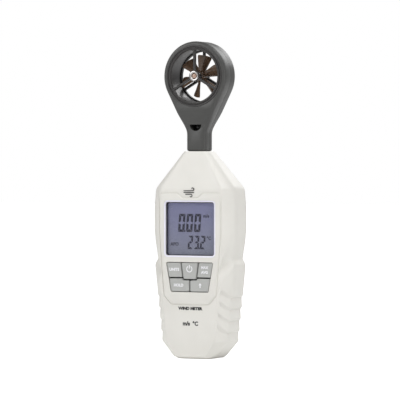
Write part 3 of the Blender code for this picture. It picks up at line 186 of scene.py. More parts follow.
def growOutline(outline, distance):
    # moves every side of an anticlockwise outline out by a distance
    grown = []
    count = len(outline)
    for index in range(count):
        here = Vector(outline[index])
        back = (here - Vector(outline[index - 1])).normalized()
        ahead = (Vector(outline[(index + 1) % count]) - here).normalized()
        across = Vector((back.y, -back.x)) + Vector((ahead.y, -ahead.x))
        across.normalize()
        slant = max(across.dot(Vector((back.y, -back.x))), 0.4)
        grown.append(tuple(here + across * distance / slant))
    return grown


def stackOutlines(name, stages, front, closed=True):
    # (outline, depth) stages behind a front plane; an open stack closes on itself as a ring
    return loftRings(name, [[(x, front + depth, z) for x, z in outline]
                            for outline, depth in stages], closed)


def rectangleCorners(width, height, middle):
    x, z = middle
    return [(x - width / 2, z - height / 2), (x + width / 2, z - height / 2),
            (x + width / 2, z + height / 2), (x - width / 2, z + height / 2)]


def smoothStep(value):
    value = min(max(value, 0), 1)
    return value * value * (3 - 2 * value)


# Shared effects for the materials

def effectGroup(name, inputs, outputs):
    group = bpy.data.node_groups.new(name, "ShaderNodeTree")
    for socket, kind, value in inputs:
        made = group.interface.new_socket(name=socket, in_out="INPUT", socket_type=kind)
        made.default_value = value
    for socket, kind in outputs:
        group.interface.new_socket(name=socket, in_out="OUTPUT", socket_type=kind)
    start = group.nodes.new("NodeGroupInput")
    end = group.nodes.new("NodeGroupOutput")
    return group, start, end


def addNode(nodes, kind, **values):
    made = nodes.new("ShaderNode" + kind)
    for socket, value in values.items():
        made.inputs[socket.replace("_", " ")].default_value = value
    return made


def joinNodes(links, *joins):
    # (node, output, node, input) for each link
    for source, output, target, socket in joins:
        links.new(source.outputs[output], target.inputs[socket])


def makeMouldGrain():
    # fine moulded texture with a slow change of shade under it
    group, start, end = effectGroup(
        "mouldGrain",
        [("Grain Scale", "NodeSocketFloat", 2500.0), ("Patch Scale", "NodeSocketFloat", 60.0)],
        [("Height", "NodeSocketFloat"), ("Shade", "NodeSocketFloat")])
    place = addNode(group.nodes, "TexCoord")
    grain = addNode(group.nodes, "TexNoise", Detail=3.0, Roughness=0.6)
    patch = addNode(group.nodes, "TexNoise", Detail=2.0)
    joinNodes(group.links, (place, "Object", grain, "Vector"), (place, "Object", patch, "Vector"),
              (start, "Grain Scale", grain, "Scale"), (start, "Patch Scale", patch, "Scale"),
              (grain, "Fac", end, "Height"), (patch, "Fac", end, "Shade"))
    return group


def makeHandlingMarks():
    # faint smudges and hairline scratches: 0 where clean, up to 1 where marked
    group, start, end = effectGroup(
        "handlingMarks",
        [("Smudge Scale", "NodeSocketFloat", 45.0), ("Scratch Scale", "NodeSocketFloat", 140.0)],
        [("Marks", "NodeSocketFloat")])
    nodes = group.nodes
    place = addNode(nodes, "TexCoord")
    smudge = addNode(nodes, "TexNoise", Detail=4.0, Distortion=0.6)
    stretch = addNode(nodes, "Mapping", Rotation=(0.3, 0.5, 0.2), Scale=(1.0, 1.0, 14.0))
    scratch = addNode(nodes, "TexNoise", Detail=1.0)
    thin = addNode(nodes, "MapRange", From_Min=0.68, From_Max=0.74)
    soft = addNode(nodes, "MapRange", From_Min=0.42, From_Max=0.75, To_Max=0.7)
    most = addNode(nodes, "Math")
    most.operation = "MAXIMUM"
    joinNodes(group.links, (place, "Object", smudge, "Vector"), (place, "Object", stretch, "Vector"),
              (stretch, "Vector", scratch, "Vector"), (start, "Smudge Scale", smudge, "Scale"),
              (start, "Scratch Scale", scratch, "Scale"), (smudge, "Fac", soft, "Value"),
              (scratch, "Fac", thin, "Value"), (soft, "Result", most, 0),
              (thin, "Result", most, 1), (most, "Value", end, "Marks"))
    return group


def makeTurnedLines():
    # fine lines left by turning or plating
    group, start, end = effectGroup(
        "turnedLines", [("Line Scale", "NodeSocketFloat", 900.0)], [("Lines", "NodeSocketFloat")])
    place = addNode(group.nodes, "TexCoord")
    squeeze = addNode(group.nodes, "Mapping", Scale=(1.0, 6.0, 1.0))
    lines = addNode(group.nodes, "TexNoise", Detail=2.0)
    joinNodes(group.links, (place, "Object", squeeze, "Vector"),
              (squeeze, "Vector", lines, "Vector"), (start, "Line Scale", lines, "Scale"),
              (lines, "Fac", end, "Lines"))
    return group


mouldGrain = makeMouldGrain()
handlingMarks = makeHandlingMarks()
turnedLines = makeTurnedLines()


def startLook(name):
    look = bpy.data.materials.new(name)
    look.use_nodes = True
    return look, look.node_tree.nodes, look.node_tree.links, look.node_tree.nodes["Principled BSDF"]


def addGroup(nodes, group, **values):
    placed = nodes.new("ShaderNodeGroup")
    placed.node_tree = group
    for socket, value in values.items():
        placed.inputs[socket.replace("_", " ")].default_value = value
    return placed


def mixColours(nodes, links, factor, first, second):
    mixed = nodes.new("ShaderNodeMix")
    mixed.data_type = "RGBA"
    mixed.inputs[6].default_value = (*first, 1)
    mixed.inputs[7].default_value = (*second, 1)
    links.new(factor, mixed.inputs[0])
    return mixed.outputs[2]


def spanValue(nodes, links, value, low, high, fromLow=0.3, fromHigh=0.7):
    span = addNode(nodes, "MapRange", From_Min=fromLow, From_Max=fromHigh, To_Min=low, To_Max=high)
    links.new(value, span.inputs["Value"])
    return span.outputs["Result"]


def addRelief(nodes, links, height, shader, strength, depth):
    relief = addNode(nodes, "Bump", Strength=strength, Distance=depth * mm)
    links.new(height, relief.inputs["Height"])
    links.new(relief.outputs["Normal"], shader.inputs["Normal"])


def plasticLook(name, colour, shade, roughness, grain=2500.0, depth=0.02, bump=0.25, patch=60.0,
                specular=0.5, coat=0.0, alpha=None, transmission=None):
    # moulded plastic, rubber or lacquer: two close shades, grain in the relief, marks in the gloss
    look, nodes, links, shader = startLook(name)
    texture = addGroup(nodes, mouldGrain, Grain_Scale=grain, Patch_Scale=patch)
    marks = addGroup(nodes, handlingMarks)
    factor = spanValue(nodes, links, texture.outputs["Shade"], 0, 1)
    links.new(mixColours(nodes, links, factor, colour, shade), shader.inputs["Base Color"])
    links.new(spanValue(nodes, links, marks.outputs["Marks"], *roughness, 0, 1),
              shader.inputs["Roughness"])
    addRelief(nodes, links, texture.outputs["Height"], shader, bump, depth)
    shader.inputs["Specular IOR Level"].default_value = specular
    shader.inputs["Coat Weight"].default_value = coat
    if alpha is not None:
        shader.inputs["Alpha"].default_value = alpha
    if transmission is not None:
        shader.inputs["Transmission Weight"].default_value = transmission
    return look


def metalLook(name, colour, shade, roughness, lines=900.0, bump=0.15):
    look, nodes, links, shader = startLook(name)
    texture = addGroup(nodes, turnedLines, Line_Scale=lines)
    links.new(mixColours(nodes, links, texture.outputs["Lines"], colour, shade),
              shader.inputs["Base Color"])
    links.new(spanValue(nodes, links, texture.outputs["Lines"], *roughness),
              shader.inputs["Roughness"])
    addRelief(nodes, links, texture.outputs["Lines"], shader, bump, 0.01)
    shader.inputs["Metallic"].default_value = 1.0
    return look


def displayLook(name, top, low, edge):
    # liquid crystal glass: a slow change of tint from top to bottom, with faint darker patches
    look, nodes, links, shader = startLook(name)
    place = addNode(nodes, "TexCoord")
    split = addNode(nodes, "SeparateXYZ")
    joinNodes(links, (place, "Object", split, "Vector"))
    boxLow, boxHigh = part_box("lcd_panel")
    height = spanValue(nodes, links, split.outputs["Z"], 0, 1, boxLow.z, boxHigh.z)
    texture = addGroup(nodes, mouldGrain, Grain_Scale=1400.0, Patch_Scale=110.0)
    tint = mixColours(nodes, links, height, low, top)
    patchy = nodes.new("ShaderNodeMix")
    patchy.data_type = "RGBA"
    patchy.inputs[7].default_value = (*edge, 1)
    links.new(spanValue(nodes, links, texture.outputs["Shade"], 0, 0.35), patchy.inputs[0])
    links.new(tint, patchy.inputs[6])
    links.new(patchy.outputs[2], shader.inputs["Base Color"])
    links.new(spanValue(nodes, links, texture.outputs["Height"], 0.22, 0.3),
              shader.inputs["Roughness"])
    shader.inputs["Specular IOR Level"].default_value = 0.3
    return look


looks = {
    "case": plasticLook("offWhiteCase", (0.78, 0.765, 0.72), (0.745, 0.73, 0.685), (0.40, 0.52),
                        grain=2600, depth=0.03, bump=0.18),
    "head": plasticLook("darkGreyHead", (0.062, 0.062, 0.059), (0.051, 0.051, 0.049),
                        (0.34, 0.46), grain=2200, depth=0.03, bump=0.22),
    "duct": plasticLook("glossyDuct", (0.034, 0.031, 0.030), (0.026, 0.024, 0.023), (0.34, 0.44),
                        grain=1500, depth=0.003, bump=0.04, coat=0.15, specular=0.5),
    "key": plasticLook("greyKey", (0.47, 0.475, 0.46), (0.43, 0.435, 0.42), (0.42, 0.55),
                       grain=2600, depth=0.03, bump=0.3),
    "legend": plasticLook("whiteLegend", (0.86, 0.86, 0.88), (0.82, 0.82, 0.85), (0.4, 0.5)),
    "ink": plasticLook("blackInk", (0.012, 0.012, 0.012), (0.02, 0.019, 0.018), (0.45, 0.6)),
    # painted shade: dark band round the display, standing in for the shade inside the window recess
    "recessShadeBand": plasticLook("paneBorderPaintedShade", (0.050, 0.050, 0.080), (0.040, 0.040, 0.065), (0.4, 0.5)),
    "surround": plasticLook("paleSurround", (0.84, 0.83, 0.93), (0.81, 0.80, 0.90), (0.25, 0.35)),
    "lens": plasticLook("clearLens", (0.30, 0.30, 0.36), (0.28, 0.28, 0.34), (0.03, 0.08),
                        alpha=0.04, depth=0.002, bump=0.05),
    "display": displayLook("blueGreyDisplay", (0.22, 0.225, 0.40), (0.22, 0.235, 0.29),
                           (0.17, 0.18, 0.25)),
    "segment": plasticLook("darkSegment", (0.012, 0.012, 0.032), (0.009, 0.009, 0.026),
                           (0.3, 0.4)),
    "dark": plasticLook("darkPlastic", (0.030, 0.030, 0.032), (0.022, 0.022, 0.024), (0.4, 0.55)),
    "rubber": plasticLook("keypadRubber", (0.055, 0.053, 0.050), (0.042, 0.041, 0.039),
                          (0.65, 0.8), grain=1800, depth=0.04),
    "diffuser": plasticLook("whiteDiffuser", (0.80, 0.80, 0.80), (0.74, 0.74, 0.75), (0.4, 0.5)),
    "board": plasticLook("greenBoard", (0.020, 0.17, 0.06), (0.014, 0.12, 0.045), (0.25, 0.4),
                         patch=400),
    "steel": metalLook("platedSteel", (0.62, 0.62, 0.62), (0.50, 0.50, 0.51), (0.24, 0.38)),
    "chrome": metalLook("brightChrome", (0.66, 0.65, 0.64), (0.55, 0.54, 0.53), (0.10, 0.22),
                        lines=500, bump=0.05),
    "copper": metalLook("copperWinding", (0.72, 0.36, 0.19), (0.55, 0.26, 0.13), (0.25, 0.4)),
    "jewel": plasticLook("amberJewel", (0.52, 0.35, 0.27), (0.43, 0.28, 0.21), (0.10, 0.18),
                         coat=0.5),
    "blade": plasticLook("smokyBlade", (0.22, 0.14, 0.09), (0.16, 0.10, 0.065), (0.12, 0.22),
                         transmission=0.45, depth=0.01, bump=0.1),
    "sleeve": plasticLook("cellSleeve", (0.10, 0.16, 0.24), (0.08, 0.13, 0.20), (0.25, 0.35),
                          coat=0.3),
}
print("looks made")


# Outer form of the body

caseLow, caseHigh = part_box("front_casing")
rearLow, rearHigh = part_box("rear_casing")
doorLow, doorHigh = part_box("battery_door")
parting = (caseHigh.y + rearLow.y) / 2
headBoxLow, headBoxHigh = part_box("head_front_shell")

bodyForm = {
    "top": caseHigh.z,
    "halfWidth": caseHigh.x,
    "panelRise": 0.6 * mm,
    "back": rearHigh.y,
    "bottomHalf": 11.55 * mm,
    "bottomEdge": 1.2 * mm,
    "undercut": 3.4 * mm,
    "chamferHeight": 10.4 * mm,
    "chamferHalf": 21.95 * mm,
    "gripHalf": 26.55 * mm,
    "gripTop": 56.8 * mm,
    "waist": 59.6 * mm,
    "waistHalf": 24.6 * mm,
    "waistBlend": 17 * mm,
    "waistLean": 9.5 * mm,       # the grip starts lower beside the front face
    "shoulderHeight": 21.5 * mm,
    "shoulderHalf": 25.6 * mm,
    "collarHalf": 8.2 * mm,
    "collarDepth": 6.5 * mm,
    "headY": (headBoxHigh.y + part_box("head_rear_shell")[0].y) / 2,
    "corner": 6 * mm,
    "scoop": 1.3,                # how much deeper the waist is at the front corners
    "cornerFlatness": 0.75,      # 0 is round, 1 is a straight facet
    "creaseSoftness": 0.6 * mm,
    "wall": 2 * mm,
    "seam": 0.07 * mm,
}
ribs = {
    "count": 4, "low": 16.2 * mm, "pitch": 7 * mm, "depth": 1.5 * mm, "sideDepth": 0.75 * mm,
    "ramp": 5.6 * mm, "ledge": 0.7 * mm,
    "sweep": 6.0 * mm,           # how far each rib climbs beside the front face
}
bodyForm["front"] = caseLow.y + bodyForm["panelRise"]


def bodyRows():
    # height, half width, front, back, corner radius
    form = bodyForm
    front, back, corner = form["front"], form["back"], form["corner"]
    shoulder = form["top"] - form["shoulderHeight"]
    edge = form["bottomEdge"]
    return [
        (0, form["bottomHalf"] - edge, front + form["undercut"], back - edge, corner / 3),
        (edge, form["bottomHalf"] + edge, front + 0.8 * mm, back - 0.4 * mm, corner / 2),
        (form["chamferHeight"], form["chamferHalf"], front, back, corner),
        (form["gripTop"] - 1.5 * mm, form["gripHalf"], front, back, corner),
        (form["gripTop"], form["gripHalf"] - 0.2 * mm, front, back, corner),
        (form["waist"], form["waistHalf"], front, back, corner),
        (form["waist"] + 0.6 * form["waistBlend"], form["halfWidth"] - 0.7 * mm, front, back,
         corner),
        (form["waist"] + form["waistBlend"], form["halfWidth"], front, back, corner),
        (shoulder - 12.5 * mm, form["halfWidth"], front, back, corner),
        (shoulder - 1.5 * mm, form["halfWidth"] - 0.84 * mm, front + 0.3 * mm, back - 0.3 * mm,
         corner),
        (shoulder, form["shoulderHalf"], front + 0.6 * mm, back - 0.6 * mm, corner),
        (form["top"], form["collarHalf"], form["headY"] - form["collarDepth"],
         form["headY"] + form["collarDepth"], 2.6 * mm),
    ]


bodySizes = bodyRows()


def plainRow(height):
    for low, high in zip(bodySizes, bodySizes[1:]):
        if height <= high[0]:
            share = (height - low[0]) / (high[0] - low[0])
            return [a + (b - a) * share for a, b in zip(low, high)]
    return list(bodySizes[-1])


def softRow(height):
    # creases are rounded by averaging over a short height
    spread = min(bodyForm["creaseSoftness"], height, bodyForm["top"] - height)
    samples = [plainRow(height + spread * step / 2) for step in (-2, -1, 0, 1, 2)]
    return [sum(values) / len(samples) for values in zip(*samples)]


def ribDepth(height, around):
    # shingle-shaped ribs: a sharp ledge with a long ramp below it; around is 0 at the front
    # crease, 1 at the middle of the side and 2 at the back crease
    if around <= 0 or around >= 2:
        return 0
    rise = ribs["sweep"] * max(0, 1 - around / 0.62) ** 1.3
    fade = smoothStep((around - 0.06) / 0.14) * smoothStep((2 - around) / 0.5)
    deepest = 0
    for rib in range(ribs["count"]):
        below = ribs["low"] + ribs["pitch"] * rib + rise - height
        ledge = smoothStep(below / ribs["ledge"] + 0.5)
        ramp = max(0, 1 - max(below, 0) / ribs["ramp"])
        deepest = max(deepest, ledge * ramp)
    depth = ribs["depth"] + (ribs["sideDepth"] - ribs["depth"]) * smoothStep((around - 0.3) / 0.45)
    return depth * deepest * fade


def cornerPoint(angle, radius):
    # share of the way across and along a corner, between round and a straight facet
    flat = bodyForm["cornerFlatness"]
    share = angle / (math.pi / 2)
    across = (1 - flat) * math.sin(angle) + flat * share
    along = (1 - flat) * (1 - math.cos(angle)) + flat * share
    return radius * across, radius * along


def bodyRing(height, inset=0, steps=9, ribbed=True):
    _, half, front, back, radius = softRow(height)
    radius = max(radius - inset, 1 * mm)
    front += inset
    back -= inset
    reach = smoothStep((height - bodyForm["gripTop"] + 22 * mm) / (12 * mm))
    reach *= smoothStep((bodyForm["waist"] + 26 * mm - height) / (14 * mm))
    column = 1.2 * mm
    leanStart = softRow(height + bodyForm["waistLean"] * reach)[1] - inset
    right = [(0, front), (leanStart - radius - column, front)]
    for step in range(steps + 1):
        angle = math.pi / 2 * step / steps
        lean = bodyForm["waistLean"] * (1 - step / steps) * reach
        halfHere = softRow(height + lean)[1] - inset
        above = softRow(max(height + lean, bodyForm["gripTop"] - 2.2 * mm))[1]
        scoop = max(bodyForm["gripHalf"] - above, 0) * bodyForm["scoop"] * reach
        halfHere -= scoop * math.sin(math.pi * step / steps) ** 2
        across, along = cornerPoint(angle, radius)
        dent = ribDepth(height, 0.7 * step / steps) if ribbed else 0
        right.append((halfHere - radius + across - dent, front + along))
    sideSteps = 6
    sideStart, sideEnd = front + radius, back - radius
    for step in range(1, sideSteps):
        share = step / sideSteps
        dent = ribDepth(height, 0.7 + 0.7 * share) if ribbed else 0
        right.append((half - inset - dent, sideStart + (sideEnd - sideStart) * share))
    for step in range(steps + 1):
        angle = math.pi / 2 * (1 - step / steps)
        across, along = cornerPoint(angle, radius)
        dent = ribDepth(height, 1.4 + 0.6 * step / steps) if ribbed else 0
        right.append((half - inset - radius + across - dent, back - along))
    right.append((half - inset - radius - column, back))
    right.append((0, back))
    inner = [(-x, y) for x, y in reversed(right) if x > 0]
    return [(x, y, height) for x, y in right + inner]


def bodyHeights():
    top = bodyForm["top"]
    ribLow, ribHigh = ribs["low"] - 8 * mm, ribs["low"] + ribs["pitch"] * 4 + 2 * mm
    heights = [0, 0.3 * mm]
    while heights[-1] < top:
        here = heights[-1]
        fine = ribLow < here < ribHigh
        heights.append(here + (0.45 * mm if fine else 1.1 * mm))
    heights[-1] = top
    return heights


def bodySolid(name, inset=0):
    if inset:
        heights = [bodyForm["wall"] + (bodyForm["top"] - 5.7 * mm) * step / 30
                   for step in range(31)]
        return loftRings(name, [bodyRing(height, inset, 4, False) for height in heights])
    return loftRings(name, [bodyRing(height) for height in bodyHeights()])


# Raised panel, window and keypad on the front

paneLow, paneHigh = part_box("lcd_window")
glassLow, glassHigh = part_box("lcd_panel")
powerLow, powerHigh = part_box("power_key")
maxLow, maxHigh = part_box("max_key")
upLow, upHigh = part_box("up_key")
panelForm = {
    "top": 98.4 * mm, "dip": 2.7 * mm, "dipWidth": 17 * mm, "width": 39.6 * mm,
    "taperHeight": 76.5 * mm, "lowWidth": 33.6 * mm, "cornerHeight": 38.1 * mm,
    "bottom": 33.3 * mm, "bottomWidth": 24.4 * mm, "corner": 1.2 * mm, "slope": 0.55 * mm,
    "groove": 0.6 * mm, "grooveDepth": 0.4 * mm,
}
windowForm = {
    "width": paneHigh.x - paneLow.x - 2.6 * mm, "height": paneHigh.z - paneLow.z - 2.6 * mm,
    "middle": (0, (paneLow.z + paneHigh.z) / 2), "radius": 1.5 * mm, "surround": 1.05 * mm,
    "recess": 0.2 * mm,
}
keypadForm = {
    "space": 0.75 * mm, "topWidth": 31.8 * mm, "lowWidth": 25.2 * mm,
    "powerTop": 11 * mm, "powerLow": 8.2 * mm, "corner": 0.7 * mm, "edge": 0.6 * mm,
}
keypadForm["top"] = powerHigh.z + keypadForm["space"] / 2
keypadForm["low"] = upLow.z - keypadForm["space"] / 2
keypadForm["row"] = (maxLow.z + upHigh.z) / 2
keypadForm["powerFoot"] = powerLow.z


def panelCorners():
    form = panelForm
    half, dip = form["width"] / 2, form["dipWidth"] / 2
    right = [(form["bottomWidth"] / 2, form["bottom"]),
             (form["lowWidth"] / 2, form["cornerHeight"]), (half, form["taperHeight"]),
             (half, form["top"]), (dip, form["top"]), (0.62 * dip, form["top"] - form["dip"])]
    left = [(-x, z) for x, z in reversed(right)]
    return right + left


def panelSolid(name):
    outline = roundedCorners(panelCorners(), panelForm["corner"])
    slope, rise = panelForm["slope"], bodyForm["panelRise"]
    stages = [(slope, 0.5 * mm), (slope, 0), (0.72 * slope, -0.1 * rise),
              (0.30 * slope, -0.55 * rise), (0, -0.86 * rise), (-0.4 * slope, -rise)]
    return stackOutlines(name, [(growOutline(outline, grow), depth) for grow, depth in stages],
                         bodyForm["front"])


def panelGroove(name):
    form = panelForm
    outline = roundedCorners(panelCorners(), form["corner"])
    start = form["slope"] - 0.05 * mm
    stages = [(start, -0.1 * mm), (start, 0.4 * form["grooveDepth"]),
              (start + 0.4 * form["groove"], form["grooveDepth"]),
              (start + form["groove"], -0.02 * mm), (start + form["groove"], -0.1 * mm)]
    return stackOutlines(name, [(growOutline(outline, grow), depth) for grow, depth in stages],
                         bodyForm["front"], closed=False)


def keypadEdge(height):
    form = keypadForm
    share = (height - form["low"]) / (form["top"] - form["low"])
    return (form["lowWidth"] + (form["topWidth"] - form["lowWidth"]) * share) / 2


def keypadCorners(margin):
    low, high = keypadForm["low"] - margin, keypadForm["top"] + margin
    return [(-keypadEdge(low) - margin, low), (keypadEdge(low) + margin, low),
            (keypadEdge(high) + margin, high), (-keypadEdge(high) - margin, high)]


def windowCorners(margin):
    return rectangleCorners(windowForm["width"] + 2 * margin, windowForm["height"] + 2 * margin,
                            windowForm["middle"])


def collarSocket():
    # the hole in the body's top for the neck's foot, cut from both halves
    across, along = 5.1 * mm, 3.9 * mm
    top, y = bodyForm["top"], bodyForm["headY"]
    return block("collarSocket", (-across, y - along, top - 5 * mm),
                 (across, y + along, top + 1 * mm))


def makeFrontCase():
    case = bodySolid("frontCase")
    far = bodyForm["top"]
    carve(case, "DIFFERENCE", bodySolid("frontHollow", bodyForm["wall"]),
          block("frontTrim", (-far, parting - bodyForm["seam"], -far), (far, far, 2 * far)))
    carve(case, "UNION", panelSolid("panelRise"))
    window = roundedCorners(windowCorners(0), windowForm["radius"])
    surround = roundedCorners(windowCorners(windowForm["surround"]),
                              windowForm["radius"] + windowForm["surround"])
    keypad = roundedCorners(keypadCorners(0), keypadForm["corner"] + keypadForm["space"] / 2)
    front, inside = caseLow.y - 1 * mm, bodyForm["front"] + 3 * mm
    carve(case, "DIFFERENCE",
          panelGroove("panelGroove"),
          pushOutline("windowCut", window, front, inside),
          pushOutline("surroundCut", surround, front, caseLow.y + 0.5 * mm),
          pushOutline("paneSeat", roundedCorners(windowCorners(1.6 * mm), windowForm["radius"]),
                      caseLow.y + 1 * mm, inside),
          pushOutline("keypadCut", keypad, front, inside), collarSocket())
    softenEdges(case, 0.16 * mm, 50, 2)
    return dressPiece(case, looks["case"], replaced=["front_casing"])


def makeWindowSurround():
    # a pale rim let into the panel, sloping down to the pane
    outer = roundedCorners(windowCorners(windowForm["surround"] - 0.05 * mm),
                           windowForm["radius"] + windowForm["surround"])
    inner = roundedCorners(windowCorners(0.03 * mm), windowForm["radius"])
    stages = [(outer, 0.45 * mm), (outer, 0.02 * mm), (growOutline(outer, -0.12 * mm), -0.06 * mm),
              (growOutline(inner, 0.15 * mm), 0.10 * mm), (inner, 0.22 * mm), (inner, 0.45 * mm)]
    rim = stackOutlines("windowSurround", stages, caseLow.y, closed=False)
    return dressPiece(rim, looks["surround"])


def makePane():
    # clear pane: its middle fills the opening, its border lies behind the casing
    opening = roundedCorners(windowCorners(-0.05 * mm), windowForm["radius"])
    border = roundedCorners(windowCorners(1.25 * mm), windowForm["radius"])
    face = caseLow.y + windowForm["recess"]
    step = paneLow.y
    rings = [[(x, face + 0.06 * mm, z) for x, z in opening],
             [(x, step, z) for x, z in opening], [(x, step + 0.01 * mm, z) for x, z in border],
             [(x, paneHigh.y, z) for x, z in border]]
    crown = [(x, face, z) for x, z in growOutline(opening, -0.12 * mm)]
    pane = loftRings("windowPane", [crown] + rings)
    return dressPiece(pane, looks["lens"], replaced=["lcd_window"])


def makePaneBorder():
    # dark band on the back of the pane: the part that reaches into the opening is painted shade along
    # the window recess
    outer = roundedCorners(windowCorners(1.0 * mm), windowForm["radius"])
    inner = roundedCorners(windowCorners(-0.55 * mm), windowForm["radius"])
    thickness = 0.12 * mm
    stages = [(outer, thickness), (outer, 0), (inner, 0), (inner, thickness)]
    border = stackOutlines("paneBorder", stages, paneHigh.y + 0.02 * mm, closed=False)
    return dressPiece(border, looks["recessShadeBand"])


makeFrontCase()
makeWindowSurround()
makePane()
makePaneBorder()
print("front case and window made")


# Display marks: thin dark shapes on the front of the glass

digitSegments = {"0": "abcdef", "2": "abged", "3": "abgcd"}
displayForm = {
    "slant": 0.07, "lift": 0.03 * mm, "thickness": 0.05 * mm,
    "bigHeight": 10.8 * mm, "bigWidth": 4.3 * mm, "bigStroke": 1.55 * mm, "bigPitch": 5.3 * mm,
    "smallHeight": 8.0 * mm, "smallWidth": 3.3 * mm, "smallStroke": 1.2 * mm,
    "smallPitch": 4.1 * mm,
}


def segmentShapes(width, height, stroke):
    # outlines of the seven segments of a digit that stands on (0, 0)
    s, half = stroke, height / 2
    gap = 0.12 * stroke
    top = [(gap, height), (width - gap, height), (width - s, height - s), (s, height - s)]
    middle = [(s * 0.5, half), (s, half + s / 2), (width - s, half + s / 2), (width - s * 0.5, half),
              (width - s, half - s / 2), (s, half - s / 2)]
    upperLeft = [(0, half + gap), (0, height - gap), (s, height - s - gap), (s, half + s / 2 + gap)]
    lowerLeft = [(x, height - z) for x, z in upperLeft]
    return {"a": top, "d": [(x, height - z) for x, z in top], "g": middle,
            "f": upperLeft, "e": lowerLeft,
            "b": [(width - x, z) for x, z in upperLeft],
            "c": [(width - x, z) for x, z in lowerLeft]}


def addPlate(shape, outline, front, thickness):
    # a thin closed plate of (x, z) points, added to a mesh that is being built
    area = sum(x0 * z1 - x1 * z0 for (x0, z0), (x1, z1) in zip(outline, outline[1:] + outline[:1]))
    if area < 0:
        outline = outline[::-1]
    rows = [[shape.verts.new((x, y, z)) for x, z in outline] for y in (front, front + thickness)]
    shape.faces.new(rows[0])
    shape.faces.new(rows[1][::-1])
    for index in range(len(outline)):
        after = (index + 1) % len(outline)
        shape.faces.new((rows[0][after], rows[0][index], rows[1][index], rows[1][after]))


def writeDigits(shape, text, left, foot, width, height, stroke, pitch, front):
    form = displayForm
    for index, letter in enumerate(text):
        for name, outline in segmentShapes(width, height, stroke).items():
            if name in digitSegments[letter]:
                addPlate(shape, [(left + pitch * index + x + form["slant"] * z, foot + z)
                                 for x, z in outline], front, form["thickness"])


def wordSolid(name, text, size, middle, front, thickness, bold, widen=1.0):
    # a word of plain type as a thin solid facing -Y, centred on (x, z)
    curve = bpy.data.curves.new(name, "FONT")
    curve.body = text
    curve.size = size
    curve.align_x = "CENTER"
    curve.align_y = "CENTER"
    curve.extrude = thickness / 2
    curve.offset = bold
    curve.resolution_u = 4
    word = meshFromCurve(name, curve)
    word.data.transform(Matrix.Translation((middle[0], front + thickness / 2, middle[1]))
                        @ Matrix.Rotation(math.pi / 2, 4, "X") @ Matrix.Diagonal((widen, 1, 1, 1)))
    return word


def makeDisplayMarks():
    form = displayForm
    front = glassLow.y - form["lift"] - form["thickness"]
    middleX, middleZ = windowForm["middle"]
    shape = bmesh.new()
    bigLeft, bigFoot = middleX - 9.0 * mm, middleZ - 1.9 * mm
    writeDigits(shape, "000", bigLeft, bigFoot, form["bigWidth"], form["bigHeight"],
                form["bigStroke"], form["bigPitch"], front)
    smallLeft, smallFoot = middleX - 2.6 * mm, middleZ - 12.1 * mm
    writeDigits(shape, "232", smallLeft, smallFoot, form["smallWidth"], form["smallHeight"],
                form["smallStroke"], form["smallPitch"], front)
    dot = 0.5 * mm
    for x, z in ((bigLeft + form["bigPitch"] - 0.75 * mm, bigFoot + dot),
                 (smallLeft + 2 * form["smallPitch"] - 0.5 * mm, smallFoot + dot)):
        addPlate(shape, [(x + dot * math.cos(math.tau * step / 12),
                          z + dot * math.sin(math.tau * step / 12)) for step in range(12)],
                 front, form["thickness"])
    digits = newObject("displayDigits", shape)
    dressPiece(digits, looks["segment"])
    words = [("speedUnit", "m/s", 2.7 * mm, (middleX + 9.8 * mm, middleZ + 7.6 * mm)),
             ("temperatureUnit", "°C", 2.6 * mm, (middleX + 11.6 * mm, middleZ - 5.6 * mm)),
             ("powerOffMark", "APO", 2.7 * mm, (middleX - 11.3 * mm, middleZ - 9.3 * mm))]
    for name, text, size, place in words:
        word = wordSolid(name, text, size, place, front, form["thickness"], 0.09 * mm)
        dressPiece(word, looks["segment"])


makeDisplayMarks()
print("display made")


# Keys

def keyOutlines():
    form = keypadForm
    half = form["space"] / 2
    top, low = form["top"] - half, form["low"] + half
    rowTop, rowLow = form["row"] + half, form["row"] - half

    def edge(height):
        return keypadEdge(height) - half

    def powerSide(height, margin):
        share = (height - form["powerFoot"]) / (form["top"] - form["powerFoot"])
        return (form["powerLow"] + (form["powerTop"] - form["powerLow"]) * share) / 2 + margin

    foot = form["powerFoot"]
    power = [(-powerSide(foot, 0), foot), (powerSide(foot, 0), foot),
             (powerSide(top, 0), top), (-powerSide(top, 0), top)]
    upper = [(powerSide(rowTop, 2 * half), rowTop), (edge(rowTop), rowTop), (edge(top), top),
             (powerSide(top, 2 * half), top)]
    notch = foot - 2 * half
    lower = [(half, low), (edge(low), low), (edge(rowLow), rowLow),
             (powerSide(rowLow, 2 * half), rowLow), (powerSide(notch, 2 * half), notch),
             (half, notch)]

    def mirror(outline):
        return [(-x, z) for x, z in reversed(outline)]

    return {"units_key": mirror(upper), "power_key": power, "max_key": upper,
            "hold_key": mirror(lower), "up_key": lower}


def outlineMiddle(outline):
    xs, zs = [x for x, _ in outline], [z for _, z in outline]
    return (min(xs) + max(xs)) / 2, (min(zs) + max(zs)) / 2


def makeKey(node, outline):
    # a cap with a bright bevelled rim, standing on its stem
    low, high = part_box(node)
    face, back = low.y, low.y + 2.4 * mm
    edge = keypadForm["edge"]
    stages = [(-1.35 * edge, 0.06 * mm), (-edge, 0), (-0.80 * edge, 0.02 * mm),
              (-0.22 * edge, 0.30 * mm), (0, 0.60 * mm), (0, back - face)]
    name = node.replace("_key", "Key")
    cap = stackOutlines(name, [(roundedCorners(growOutline(outline, grow), keypadForm["corner"], 5),
                                depth) for grow, depth in stages], face)
    x, z = outlineMiddle(outline)
    carve(cap, "UNION", roundBar(name + "Stem", 1.6 * mm, back - 0.5 * mm, high.y, x, z))
    return dressPiece(cap, looks["key"], node, [node], 30)


